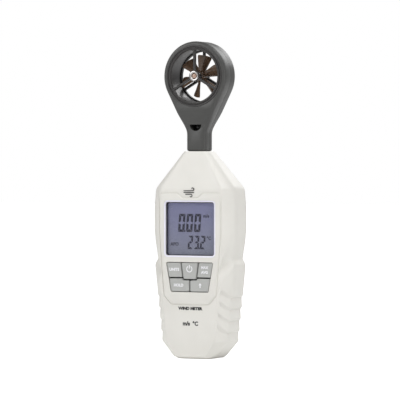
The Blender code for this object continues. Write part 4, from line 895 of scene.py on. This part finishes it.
def powerSign(radius, stroke, middle, front, thickness, gap):
    # an arc band with an opening at the top, and a bar standing in it
    x, z = middle
    half = stroke / 2
    steps = 40
    begin, sweep = math.pi / 2 + gap, math.tau - 2 * gap
    angles = [begin + sweep * step / steps for step in range(steps + 1)]
    outer, inner = ([(x + reach * math.cos(angle), z + reach * math.sin(angle)) for angle in angles]
                    for reach in (radius + half, radius - half))
    foot, head = z + 0.15 * radius, z + 1.35 * radius
    shape = bmesh.new()
    addPlate(shape, outer + inner[::-1], front, thickness)
    addPlate(shape, [(x - half, foot), (x + half, foot), (x + half, head), (x - half, head)],
             front, thickness)
    return newObject("powerLegend", shape)


def makeLegends(outlines):
    thickness = 0.06 * mm
    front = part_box("power_key")[0].y - 0.02 * mm
    places = {name: outlineMiddle(outline) for name, outline in outlines.items()}
    words = [("units", "UNITS", 2.35, 0.1, 0.2, "units_key"), ("max", "MAX", 2.2, -0.1, 1.5, "max_key"),
             ("average", "AVG", 2.2, -0.1, -1.3, "max_key"),
             ("hold", "HOLD", 2.3, -0.2, -0.2, "hold_key")]
    for name, text, size, aside, above, body in words:
        middle = (places[body][0] + aside * mm, places[body][1] + above * mm)
        word = wordSolid(name + "Legend", text, size * mm, middle, front, thickness, 0.12 * mm)
        dressPiece(word, looks["legend"], body)
    x, z = places["power_key"]
    sign = powerSign(1.75 * mm, 0.55 * mm, (x, z + 1.2 * mm), front, thickness, 0.5)
    dressPiece(sign, looks["legend"], "power_key")
    x, z = places["up_key"][0] + 0.1 * mm, places["up_key"][1] - 0.1 * mm
    stem, wing, neck, tip = 0.35 * mm, 1.1 * mm, 0.1 * mm, 1.5 * mm
    right = [(stem, -tip), (stem, neck), (wing, neck)]
    left = [(-across, up) for across, up in reversed(right)]
    arrow = bmesh.new()
    addPlate(arrow, [(x + across, z + up) for across, up in right + [(0, tip)] + left],
             front, thickness)
    dressPiece(newObject("upLegend", arrow), looks["legend"], "up_key")


outlines = keyOutlines()
for node, outline in outlines.items():
    makeKey(node, outline)
makeLegends(outlines)
print("keys made")


# Printing on the case: a wind sign and plain words

def strokeBand(points, width):
    left, right = [], []
    for index, point in enumerate(points):
        here = Vector(point)
        back = Vector(points[max(index - 1, 0)])
        ahead = Vector(points[min(index + 1, len(points) - 1)])
        along = (ahead - back).normalized()
        across = Vector((-along.y, along.x)) * width / 2
        left.append(tuple(here + across))
        right.append(tuple(here - across))
    return left + right[::-1]


printForm = {
    "middle": (-0.9 * mm, 99.4 * mm), "stroke": 0.5 * mm, "thickness": 0.06 * mm,
    "pitch": 1.05 * mm,
    # left end, right end and radius of the curl of each stroke, from the top down
    "strokes": ((-3.4 * mm, 2.6 * mm, 0.85 * mm), (-3.4 * mm, 3.6 * mm, 0),
                (-2.2 * mm, 1.5 * mm, -0.75 * mm)),
}


def makePrinting():
    # a breeze sign: three strokes, two of which curl at their ends
    form = printForm
    front = bodyForm["front"] + 0.02 * mm
    shape = bmesh.new()
    middleX, middleZ = form["middle"]
    for level, (start, reach, curl) in enumerate(form["strokes"]):
        z = middleZ + form["pitch"] * (1 - level)
        points = [(middleX + start + (reach - start) * step / 8, z) for step in range(9)]
        if curl:
            turn = -1 if curl > 0 else 1
            for step in range(1, 15):
                angle = turn * (math.pi / 2 - math.radians(17 * step))
                points.append((middleX + reach + abs(curl) * math.cos(angle),
                               z + curl + abs(curl) * math.sin(angle)))
        addPlate(shape, strokeBand(points, form["stroke"]), front - form["thickness"] / 2,
                 form["thickness"])
    sign = newObject("breezeSign", shape)
    return dressPiece(sign, looks["ink"])


def makeWords():
    thickness = 0.04 * mm
    front = bodyForm["front"] - 0.02 * mm
    for name, text, size, middle, widen in (
            ("windWord", "WIND METER", 2.3 * mm, (0.2 * mm, 30.2 * mm), 1.12),
            ("unitWord", "m/s  °C", 3.3 * mm, (0.3 * mm, 21.2 * mm), 1.0)):
        word = wordSolid(name, text, size, middle, front, thickness, 0.17 * mm, widen=widen)
        dressPiece(word, looks["ink"])


makePrinting()
makeWords()
print("printing made")


# Rear case and battery door

def caseScrews():
    # middle and highest corner of each casing screw
    boxes = [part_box(f"case_screw_{number}") for number in range(1, 5)]
    return [((low + high) / 2, high) for low, high in boxes]


bayForm = {
    "low": 12 * mm, "top": doorHigh.z - 1.2 * mm, "wall": 1.2 * mm,
    "doorHalf": doorHigh.x - 1.3 * mm, "tongue": 1.3 * mm, "gap": 0.15 * mm,
    "doorThickness": 1.6 * mm, "cellFloor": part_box("battery_cell_1")[0].y - 0.4 * mm,
    "post": 3.5 * mm, "headHole": 2.45 * mm, "screwHole": 1.2 * mm,
}


def makeRearCase():
    form, bay = bodyForm, bayForm
    case = bodySolid("rearCase")
    far = form["top"]
    opening = bay["doorHalf"] + bay["gap"]
    inner = form["back"] - bay["doorThickness"]
    tray = bay["doorHalf"] + 0.3 * mm + bay["tongue"] + bay["wall"]
    hollow = bodySolid("rearHollow", form["wall"])
    posts = [block("bayBlock", (-tray, bay["cellFloor"] - bay["wall"], -far),
                   (tray, form["back"] + 2 * mm, bay["top"] + bay["wall"]))]
    for middle, _ in caseScrews():
        posts.append(roundBar("post", bay["post"], parting, form["back"] + 2 * mm,
                              middle.x, middle.z))
    carve(hollow, "DIFFERENCE", *posts)
    bayHalf = bay["doorHalf"] - 0.4 * mm
    cuts = [hollow,
            block("rearTrim", (-far, -far, -far), (far, parting + form["seam"], 2 * far)),
            block("bayHollow", (-bayHalf, bay["cellFloor"], bay["low"]),
                  (bayHalf, form["back"] - 0.5 * mm, bay["top"])),
            block("doorOpening", (-opening, inner - bay["gap"], -1 * mm),
                  (opening, form["back"] + 1 * mm, doorHigh.z + bay["gap"])),
            block("doorGroove", (-opening - bay["tongue"], inner - 1.6 * mm, 10.7 * mm),
                  (opening + bay["tongue"], inner - 0.05 * mm, doorHigh.z))]
    for middle, high in caseScrews():
        seat = high.y - 1.6 * mm
        cuts.append(roundBar("headHole", bay["headHole"], seat - 0.05 * mm,
                             form["back"] + 2 * mm, middle.x, middle.z))
        cuts.append(roundBar("screwHole", bay["screwHole"], parting - 1 * mm, seat,
                             middle.x, middle.z))
    carve(case, "DIFFERENCE", *cuts, collarSocket())
    softenEdges(case, 0.16 * mm, 50, 2)
    return dressPiece(case, looks["case"], replaced=["rear_casing"])


def makeDoor():
    form, bay = bodyForm, bayForm
    half = bay["doorHalf"]
    inner = form["back"] - bay["doorThickness"]
    door = block("batteryDoor", (-half, inner, doorLow.z), (half, form["back"] + 1 * mm, doorHigh.z))
    carve(door, "INTERSECT", bodySolid("doorLimit"))
    softenEdges(door, 0.3 * mm, 50, 3)
    hooks = []
    for side in (-1, 1):
        near, edge = side * (half - 0.8 * mm), side * (half - 0.15 * mm)
        tip = side * (half + bay["tongue"])
        deep, shallow, root = inner - 1.4 * mm, inner - 0.3 * mm, inner + 0.5 * mm
        hook = [(near, root), (near, deep), (tip, deep), (tip, shallow), (edge, shallow),
                (edge, root)]
        hooks.append(pushOutline("hook", hook, 26 * mm, doorHigh.z - 0.5 * mm, "Z"))
    carve(door, "UNION", *hooks)
    grips = []
    profile = [(-0.45 * mm, 0.25 * mm), (0, -0.42 * mm), (0.45 * mm, 0.25 * mm)]
    for index in range(7):
        width = (7.4 - 0.75 * index) * mm
        z = doorHigh.z - (7 + 1.7 * index) * mm
        rings = [[(x, form["back"] + y, z + up) for up, y in profile] for x in (-width, width)]
        grips.append(loftRings("grip", rings))
    carve(door, "DIFFERENCE", *grips)
    return dressPiece(door, looks["case"], "battery_door", ["battery_door"])


makeRearCase()
makeDoor()
print("rear case and door made")


# Sensor head

ductLow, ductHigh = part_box("duct_barrel")
bladeLow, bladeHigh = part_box("impeller")
headForm = {
    "y": bodyForm["headY"], "z": (ductLow.z + ductHigh.z) / 2,
    "radius": headBoxHigh.x, "half": bodyForm["headY"] - headBoxLow.y,
    "edge": 1.7 * mm, "neckEdge": 1.9 * mm, "edgeBlend": 13 * mm,
    "taper": math.radians(27), "neckHalf": 6.4 * mm, "neckThin": 5.2 * mm,
    "fillet": 9 * mm, "corner": 0.9 * mm, "low": bodyForm["top"] + 0.15 * mm,
    "bend": 10.5 * mm, "bendHeight": 10.4 * mm, "ventRadius": 3.85 * mm, "ventSpace": 11.6 * mm,
    "barrel": ductHigh.x, "seam": 0.06 * mm, "screwSeat": 1.95 * mm, "screwHole": 1.0 * mm,
}


def headOutline(inset):
    form = headForm
    radius, half = form["radius"] - inset, form["neckHalf"] - inset
    low, corner = form["low"] + inset * 0.5, form["corner"]
    taper = form["taper"]
    touchX, touchZ = radius * math.cos(taper), form["z"] - radius * math.sin(taper)
    bend = touchZ - (touchX - half) / math.tan(taper)
    fillet = form["fillet"] + inset
    reach = fillet * math.tan(taper / 2)
    right = [(0, low)]
    for step in range(5):
        angle = math.pi / 2 * step / 4
        right.append((half - corner + corner * math.sin(angle),
                      low + corner - corner * math.cos(angle)))
    for step in range(9):
        angle = taper * step / 8
        right.append((half + fillet * (1 - math.cos(angle)),
                      bend - reach + fillet * math.sin(angle)))
    for step in range(33):
        angle = -taper + (math.pi / 2 + taper) * step / 32
        right.append((max(radius * math.cos(angle), 0), form["z"] + radius * math.sin(angle)))
    inner = [(-x, z) for x, z in reversed(right) if x > 1e-9]
    return right + inner


def headSolid(name):
    # flat-faced solid with a rounded rim, then thinned towards the neck
    form = headForm
    rings = []
    stages = 6
    chamferTop = form["z"] - 0.5 * form["radius"]
    for side in (-1, 1):
        order = range(stages + 1) if side < 0 else range(stages, -1, -1)
        for stage in order:
            angle = math.pi / 2 * stage / stages
            inset, back = 1 - math.sin(angle), 1 - math.cos(angle)
            ring = []
            for (headX, headZ), (neckX, neckZ) in zip(headOutline(form["edge"] * inset),
                                                      headOutline(form["neckEdge"] * inset)):
                share = smoothStep((chamferTop - headZ) / form["edgeBlend"])
                edge = form["edge"] + (form["neckEdge"] - form["edge"]) * share
                ring.append((headX + (neckX - headX) * share, side * (form["half"] - edge * back),
                             headZ + (neckZ - headZ) * share * 0.3))
            rings.append(ring)
    solid = loftRings(name, rings)
    shape = bmesh.new()
    shape.from_mesh(solid.data)
    bend = form["z"] - form["radius"] - form["bend"]
    slices = 16
    for number in range(-1, slices + 2):
        level = bend + form["bendHeight"] * number / slices
        bmesh.ops.bisect_plane(shape, geom=shape.verts[:] + shape.edges[:] + shape.faces[:],
                               dist=1e-7, plane_co=(0, 0, level), plane_no=(0, 0, 1))
    for vert in shape.verts:
        share = smoothStep((vert.co.z - bend) / form["bendHeight"])
        thin = (form["half"] - form["neckThin"]) * (1 - share)
        vert.co.y = form["y"] + vert.co.y - math.copysign(thin, vert.co.y)
    shape.to_mesh(solid.data)
    shape.free()
    return solid


def makeHeadHalf(name, side, node):
    form = headForm
    shell = headSolid(name)
    far = 3 * form["radius"]
    y = form["y"]
    spigot = block("spigot", (-5 * mm, y - 3.8 * mm, form["low"] - 8 * mm),
                   (5 * mm, y + 3.8 * mm, form["low"] + 3 * mm))
    carve(shell, "UNION", spigot)
    cuts = [roundBar("bore", form["barrel"] + 0.04 * mm, y - far, y + far, 0, form["z"], 128)]
    depth = form["neckThin"] - 2.2 * mm
    cuts.append(block("channel", (-4.2 * mm, y - depth, form["low"] + 2.2 * mm),
                      (4.2 * mm, y + depth, form["z"] - form["barrel"] - 1.4 * mm)))
    seam = form["seam"]
    if side < 0:
        cuts.append(block("trim", (-far, y - seam, 0), (far, y + far, form["z"] + far)))
        angles = [math.pi + math.pi * step / 24 for step in range(25)]
        ventZ = form["z"] - form["barrel"] - form["ventSpace"]
        vent = [(form["ventRadius"] * math.cos(angle), ventZ + form["ventRadius"] * math.sin(angle))
                for angle in angles]
        cuts.append(pushOutline("vent", vent, y - form["half"] - 1 * mm, y - depth + 0.5 * mm))
    else:
        cuts.append(block("trim", (-far, y - far, 0), (far, y + seam, form["z"] + far)))
        for number in (1, 2):
            low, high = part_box(f"head_screw_{number}")
            middle = (low + high) / 2
            cuts.append(roundBar("screwSeat", form["screwSeat"], high.y - 1.1 * mm, y + far,
                                 middle.x, middle.z))
            cuts.append(roundBar("screwHole", form["screwHole"], y - 1 * mm, high.y,
                                 middle.x, middle.z))
    carve(shell, "DIFFERENCE", *cuts)
    softenEdges(shell, 0.12 * mm, 50, 2)
    return dressPiece(shell, looks["head"], replaced=[node])


makeHeadHalf("headFront", -1, "head_front_shell")
makeHeadHalf("headRear", 1, "head_rear_shell")
print("head shells made")


# Air duct, guard and impeller

ductForm = {
    "inner": 15.6 * mm, "outer": ductHigh.x, "half": headForm["y"] - ductLow.y,
    "spokeWidth": 1.5 * mm, "spokeDepth": 2 * mm, "spokeInset": 0.4 * mm, "boss": 3.3 * mm,
    "skirt": 1.0 * mm, "skirtRise": 0.5 * mm,
}


def barrelProfile():
    # ring with a stepped lip at both ends, a groove round it and a rounded skirt on the head
    form = ductForm
    inner, outer, half = form["inner"], form["outer"], form["half"]
    face = headForm["half"]
    lip = [(inner + 0.02 * mm, half - 1.5 * mm), (inner, half - 0.75 * mm),
           (inner + 0.12 * mm, half - 0.25 * mm), (inner + 0.38 * mm, half),
           (inner + 0.72 * mm, half), (inner + 0.84 * mm, half - 0.16 * mm),
           (inner + 1.02 * mm, half - 0.16 * mm), (inner + 1.12 * mm, half - 0.02 * mm),
           (outer - 0.45 * mm, half - 0.02 * mm), (outer - 0.38 * mm, half - 0.1 * mm),
           (outer - 0.36 * mm, face + 0.06 * mm), (outer - 0.02 * mm, face + 0.06 * mm)]
    skirt = []
    for step in range(1, 9):
        angle = math.pi * step / 8
        skirt.append((outer + form["skirt"] / 2 * (1 - math.cos(angle)),
                      face + form["skirtRise"] * math.sin(angle) + 0.03 * mm))
    under = [(outer + form["skirt"], face - 0.06 * mm), (outer - 0.02 * mm, face - 0.06 * mm)]
    front = lip + skirt + under
    return front + [(radius, -along) for radius, along in reversed(front)]


def spokeSolid(name, angle, length, front):
    form = ductForm
    half = form["spokeWidth"] / 2
    ahead = Vector((math.cos(angle), math.sin(angle)))
    across = Vector((-ahead.y, ahead.x))
    depth = form["spokeDepth"]
    edge = 0.3 * mm
    section = [(-half, edge), (-half + edge, 0), (half - edge, 0), (half, edge),
               (half, depth - edge), (half - edge, depth), (-half + edge, depth),
               (-half, depth - edge)]
    rings = []
    for reach in (form["boss"] / 2, length):
        rings.append([(ahead.x * reach + across.x * side, front + along,
                       headForm["z"] + ahead.y * reach + across.y * side) for side, along in section])
    return loftRings(name, rings)


def bossSolid(name, face, side):
    # holds the bearing: a pocket outside with a fine shaft hole behind it
    radius, pocket, hole, edge = ductForm["boss"], 2.72 * mm, 0.9 * mm, 0.25 * mm
    floor, back = 1.7 * mm, 2.75 * mm
    stages = [(pocket, 0), (radius - edge, -0.05 * mm), (radius, edge), (radius, back - edge),
              (radius - edge, back), (hole, back), (hole, floor), (pocket, floor)]
    profile = [(reach, face + side * depth) for reach, depth in stages]
    return turnProfile(name, profile, (0, headForm["y"], headForm["z"]), 48)


def spokeAngles():
    return [math.pi / 2 + math.tau * number / 3 for number in range(3)]


def dressDuctPiece(piece, spokeReach, low, boss, node):
    # three spokes and a boss, with room for the bearing, join a barrel or a rim
    spokes = [spokeSolid("spoke", angle, spokeReach, low) for angle in spokeAngles()]
    carve(piece, "UNION", *spokes)
    carve(piece, "DIFFERENCE", roundBar("hubSpace", ductForm["boss"] - 0.2 * mm, low - 1 * mm,
                                        low + ductForm["spokeDepth"] + 1 * mm, 0, headForm["z"],
                                        48))
    carve(piece, "UNION", boss)
    return dressPiece(piece, looks["duct"], replaced=[node], sharp=45)


def makeDuct():
    form = ductForm
    y, proud = headForm["y"], 0.15 * mm
    centre = (0, y, headForm["z"])
    front = y - form["half"] + form["spokeInset"]
    back = y + form["half"] - form["spokeInset"]
    dressDuctPiece(turnProfile("ductBarrel", barrelProfile(), centre, 128),
                   form["inner"] + 0.9 * mm, front, bossSolid("boss", front - y - proud, 1),
                   "duct_barrel")
    rimOut, rimIn = form["inner"] - 0.1 * mm, form["inner"] - 0.7 * mm
    low, high = back - form["spokeDepth"] - proud - y, back + proud - y
    rim = [(rimIn, low + 0.25 * mm), (rimIn + 0.2 * mm, low), (rimOut, low), (rimOut, high),
           (rimIn + 0.2 * mm, high), (rimIn, high - 0.25 * mm)]
    dressDuctPiece(turnProfile("rearGuard", rim, centre, 128), rimIn + 0.4 * mm,
                   back - form["spokeDepth"], bossSolid("boss", back - y + proud, -1), "rear_guard")


def makeBearings():
    # (radius, depth) profiles, with the depth from the cup's outer face towards the hub
    rim, bore, outer = 2.9 * mm, 1.72 * mm, 2.6 * mm
    centre = (0, headForm["y"], headForm["z"])
    for place, side in (("front", -1), ("rear", 1)):
        low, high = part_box(f"{place}_bearing")
        outside = (low.y if side < 0 else high.y) - headForm["y"]
        depth = high.y - low.y
        cup = [(bore, 0.25 * mm), (1.95 * mm, 0), (2.2 * mm, -0.22 * mm), (2.75 * mm, -0.22 * mm),
               (rim, -0.15 * mm), (rim, -0.07 * mm), (outer, -0.07 * mm), (outer, depth),
               (bore, depth)]
        jewel = [(0, 0.1 * mm), (0.5 * mm, 0.14 * mm), (1.0 * mm, 0.25 * mm), (1.4 * mm, 0.55 * mm),
                 (1.4 * mm, 1.2 * mm), (0, 1.2 * mm)]
        for piece, profile, steps, look in (("bearing", cup, 64, "chrome"),
                                            ("jewel", jewel, 48, "jewel")):
            name = f"{place}BearingCup" if piece == "bearing" else f"{place}BearingJewel"
            turned = turnProfile(name, [(radius, outside - side * along)
                                        for radius, along in profile], centre, steps)
            dressPiece(turned, looks[look], replaced=[f"{place}_{piece}"], sharp=50)


bladeForm = {
    "count": 6, "first": math.radians(257), "tip": headForm["z"] - bladeLow.z, "hub": 3.4 * mm,
    "setback": 0.4 * mm, "thickness": 0.5 * mm, "rootChord": 4.2 * mm, "tipChord": 9.2 * mm,
    "rootPitch": math.radians(-38), "tipPitch": math.radians(-53), "camber": 0.45 * mm,
    "middle": (bladeLow.y + bladeHigh.y) / 2,
}


def bladeRing(radius, angle, chord, pitch):
    # cambered section of a blade, wrapped around the axis
    form = bladeForm
    section = []
    stations = 8
    for side in (-1, 1):
        order = range(stations + 1) if side < 0 else range(stations, -1, -1)
        for station in order:
            along = station / stations - 0.5
            fullness = math.sqrt(max(0.0, 1 - (2 * along) ** 6))
            bow = form["camber"] * (1 - (2 * along) ** 2)
            section.append((along * chord,
                            bow + side * form["thickness"] / 2 * max(fullness, 0.3)))
    ring = []
    y = form["middle"] + form["setback"]
    for along, off in section:
        axial = along * math.cos(pitch) + off * math.sin(pitch)
        around = along * math.sin(pitch) - off * math.cos(pitch)
        turn = angle + around / radius
        ring.append((radius * math.cos(turn), y + axial, headForm["z"] + radius * math.sin(turn)))
    return ring


def makeImpeller():
    form = bladeForm
    hub, half = form["hub"], (bladeHigh.y - bladeLow.y) / 2
    profile = [(0.8 * mm, -half), (hub - 1.1 * mm, -half), (hub - 0.5 * mm, -half + 0.12 * mm),
               (hub - 0.12 * mm, -half + 0.5 * mm), (hub, -half + 1.1 * mm), (hub, half - 0.2 * mm),
               (hub - 0.2 * mm, half), (0.8 * mm, half)]
    wheel = turnProfile("impellerWheel", profile, (0, form["middle"], headForm["z"]), 48)
    tip = form["tip"]
    root = hub - 0.8 * mm
    blades = []
    stations = 10
    for number in range(form["count"]):
        angle = form["first"] + math.tau * number / form["count"]
        rings = []
        for station in range(stations + 1):
            share = station / stations
            chord = form["rootChord"] + (form["tipChord"] - form["rootChord"]) * share
            if station == stations:
                chord -= 0.7 * mm
            pitch = form["rootPitch"] + (form["tipPitch"] - form["rootPitch"]) * share
            rings.append(bladeRing(root + (tip - root) * share, angle, chord, pitch))
        blades.append(loftRings("blade", rings))
    carve(wheel, "UNION", *blades)
    dressPiece(wheel, looks["blade"], "impeller", ["impeller"], 50)


makeDuct()
makeBearings()
makeImpeller()
print("duct and impeller made")


# Screws and springs

def makeScrews():
    names = [f"case_screw_{n}" for n in range(1, 5)] + [f"head_screw_{n}" for n in (1, 2)]
    for node in names:
        low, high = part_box(node)
        middle = (low + high) / 2
        headRadius = (high.x - low.x) / 2
        radius = headRadius / 2.2
        head = 0.72 * headRadius
        seat = high.y - head
        profile = [(0, low.y), (0.5 * radius, low.y), (radius, low.y + 1.2 * radius),
                   (radius, seat), (headRadius, seat), (headRadius, seat + 0.35 * head),
                   (0.9 * headRadius, seat + 0.7 * head), (0.6 * headRadius, seat + 0.93 * head),
                   (0, seat + head)]
        screw = turnProfile(node.replace("_screw_", "Screw"), profile, (middle.x, 0, middle.z), 40)
        slot, reach = 0.15 * headRadius, 0.58 * headRadius
        cross = [(slot, slot), (slot, reach), (-slot, reach), (-slot, slot), (-reach, slot),
                 (-reach, -slot), (-slot, -slot), (-slot, -reach), (slot, -reach), (slot, -slot),
                 (reach, -slot), (reach, slot)]
        outline = [(middle.x + across, middle.z + up) for across, up in cross]
        carve(screw, "DIFFERENCE",
              pushOutline("recess", outline, seat + 0.3 * head, seat + 2 * head))
        dressPiece(screw, looks["steel"], replaced=[node])


def makeSprings():
    for number in (1, 2, 3):
        node = f"battery_spring_{number}"
        low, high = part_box(node)
        middle = (low + high) / 2
        name = f"batterySpring{number}"
        curve = bpy.data.curves.new(name, "CURVE")
        curve.dimensions = "3D"
        curve.bevel_depth = 0.22 * mm
        curve.bevel_resolution = 3
        curve.use_fill_caps = True
        line = curve.splines.new("POLY")
        points, turns = 96, 3
        line.points.add(points)
        bottom, top = low.z + 0.25 * mm, high.z - 0.25 * mm
        for index, point in enumerate(line.points):
            share = index / points
            angle = math.tau * turns * share
            radius = (2.9 - 1.2 * share) * mm
            point.co = (middle.x + radius * math.cos(angle), middle.y + radius * math.sin(angle),
                        bottom + (top - bottom) * share, 1)
        dressPiece(meshFromCurve(name, curve), looks["steel"], replaced=[node])


makeScrews()
makeSprings()
print("screws and springs made")


# CAD pieces that keep their shape

keptLooks = {
    "display": "lcd_panel",
    "diffuser": "lcd_backlight lead_connector",
    "dark": "lcd_frame controller_chip capacitor buzzer rotor_magnet temperature_sensor",
    "rubber": "contact_strip_1 contact_strip_2 keypad_mat sensor_lead",
    "board": "main_board pickup_board",
    "steel": "board_screw_1 board_screw_2 crystal units_switch power_switch max_switch"
             " hold_switch up_switch contact_minus contact_link_low contact_link_top"
             " contact_plus impeller_shaft",
    "sleeve": "battery_cell_1 battery_cell_2 battery_cell_3",
    "copper": "pickup_coil",
}
for look, names in keptLooks.items():
    for node in names.split():
        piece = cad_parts[node]
        piece.data.materials.clear()
        piece.data.materials.append(looks[look])


# Floor, light and camera

def makeStage():
    shape = bmesh.new()
    reach = 6.0
    shape.faces.new([shape.verts.new(point) for point in (
        (-reach, -reach, 0), (reach, -reach, 0), (reach, reach, 0), (-reach, reach, 0))])
    floor = newObject("paleFloor", shape)
    look, nodes, links, shader = startLook("paleFloorPaint")
    shader.inputs["Base Color"].default_value = (0.9, 0.9, 0.9, 1)
    shader.inputs["Roughness"].default_value = 0.9
    ray = nodes.new("ShaderNodeLightPath")
    glow = mixColours(nodes, links, ray.outputs["Is Camera Ray"], (0.12, 0.12, 0.12),
                      (0.8, 0.8, 0.8))
    links.new(glow, shader.inputs["Emission Color"])
    shader.inputs["Emission Strength"].default_value = 1.0
    floor.data.materials.append(look)


lightForm = {
    "key": ((-0.75, -0.95, 0.65), 0.7, 4.7), "fill": ((0.95, -0.55, 0.30), 0.6, 1.3),
    "top": ((0.45, -0.25, 1.0), 0.45, 4.1), "back": ((0.1, 1.1, 0.75), 0.6, 3.0),
}


def makeLights():
    target = Vector((0, 0, 0.1))
    for name, (place, size, power) in lightForm.items():
        lamp = bpy.data.lights.new(name + "Light", "AREA")
        lamp.shape = "SQUARE"
        lamp.size = size
        lamp.energy = power
        placed = bpy.data.objects.new(name + "Light", lamp)
        placed.location = place
        placed.rotation_euler = (target - Vector(place)).to_track_quat("-Z", "Y").to_euler()
        scene.collection.objects.link(placed)
    world = bpy.data.worlds.new("studio")
    world.use_nodes = True
    scene.world = world
    nodes, links = world.node_tree.nodes, world.node_tree.links
    ray = nodes.new("ShaderNodeLightPath")
    grey = mixColours(nodes, links, ray.outputs["Is Camera Ray"], (0.44, 0.44, 0.44),
                      (1.0, 1.0, 1.0))
    links.new(grey, nodes["Background"].inputs["Color"])
    scene.view_settings.view_transform = "Standard"


cameraForm = {"turn": 27.0, "distance": 1.62, "height": 0.1146, "focal": 243.0, "dip": 0.7}


def makeCamera():
    form = cameraForm
    turn = math.radians(form["turn"])
    camera = bpy.data.cameras.new("camera")
    camera.lens = form["focal"]
    camera.sensor_width = 36
    camera.clip_end = 20
    placed = bpy.data.objects.new("camera", camera)
    placed.location = (math.sin(turn) * form["distance"], -math.cos(turn) * form["distance"],
                       form["height"])
    placed.rotation_euler = (math.pi / 2 - math.radians(form["dip"]), 0, turn)
    scene.collection.objects.link(placed)
    scene.camera = placed


makeStage()
makeLights()
makeCamera()
print("stage made")
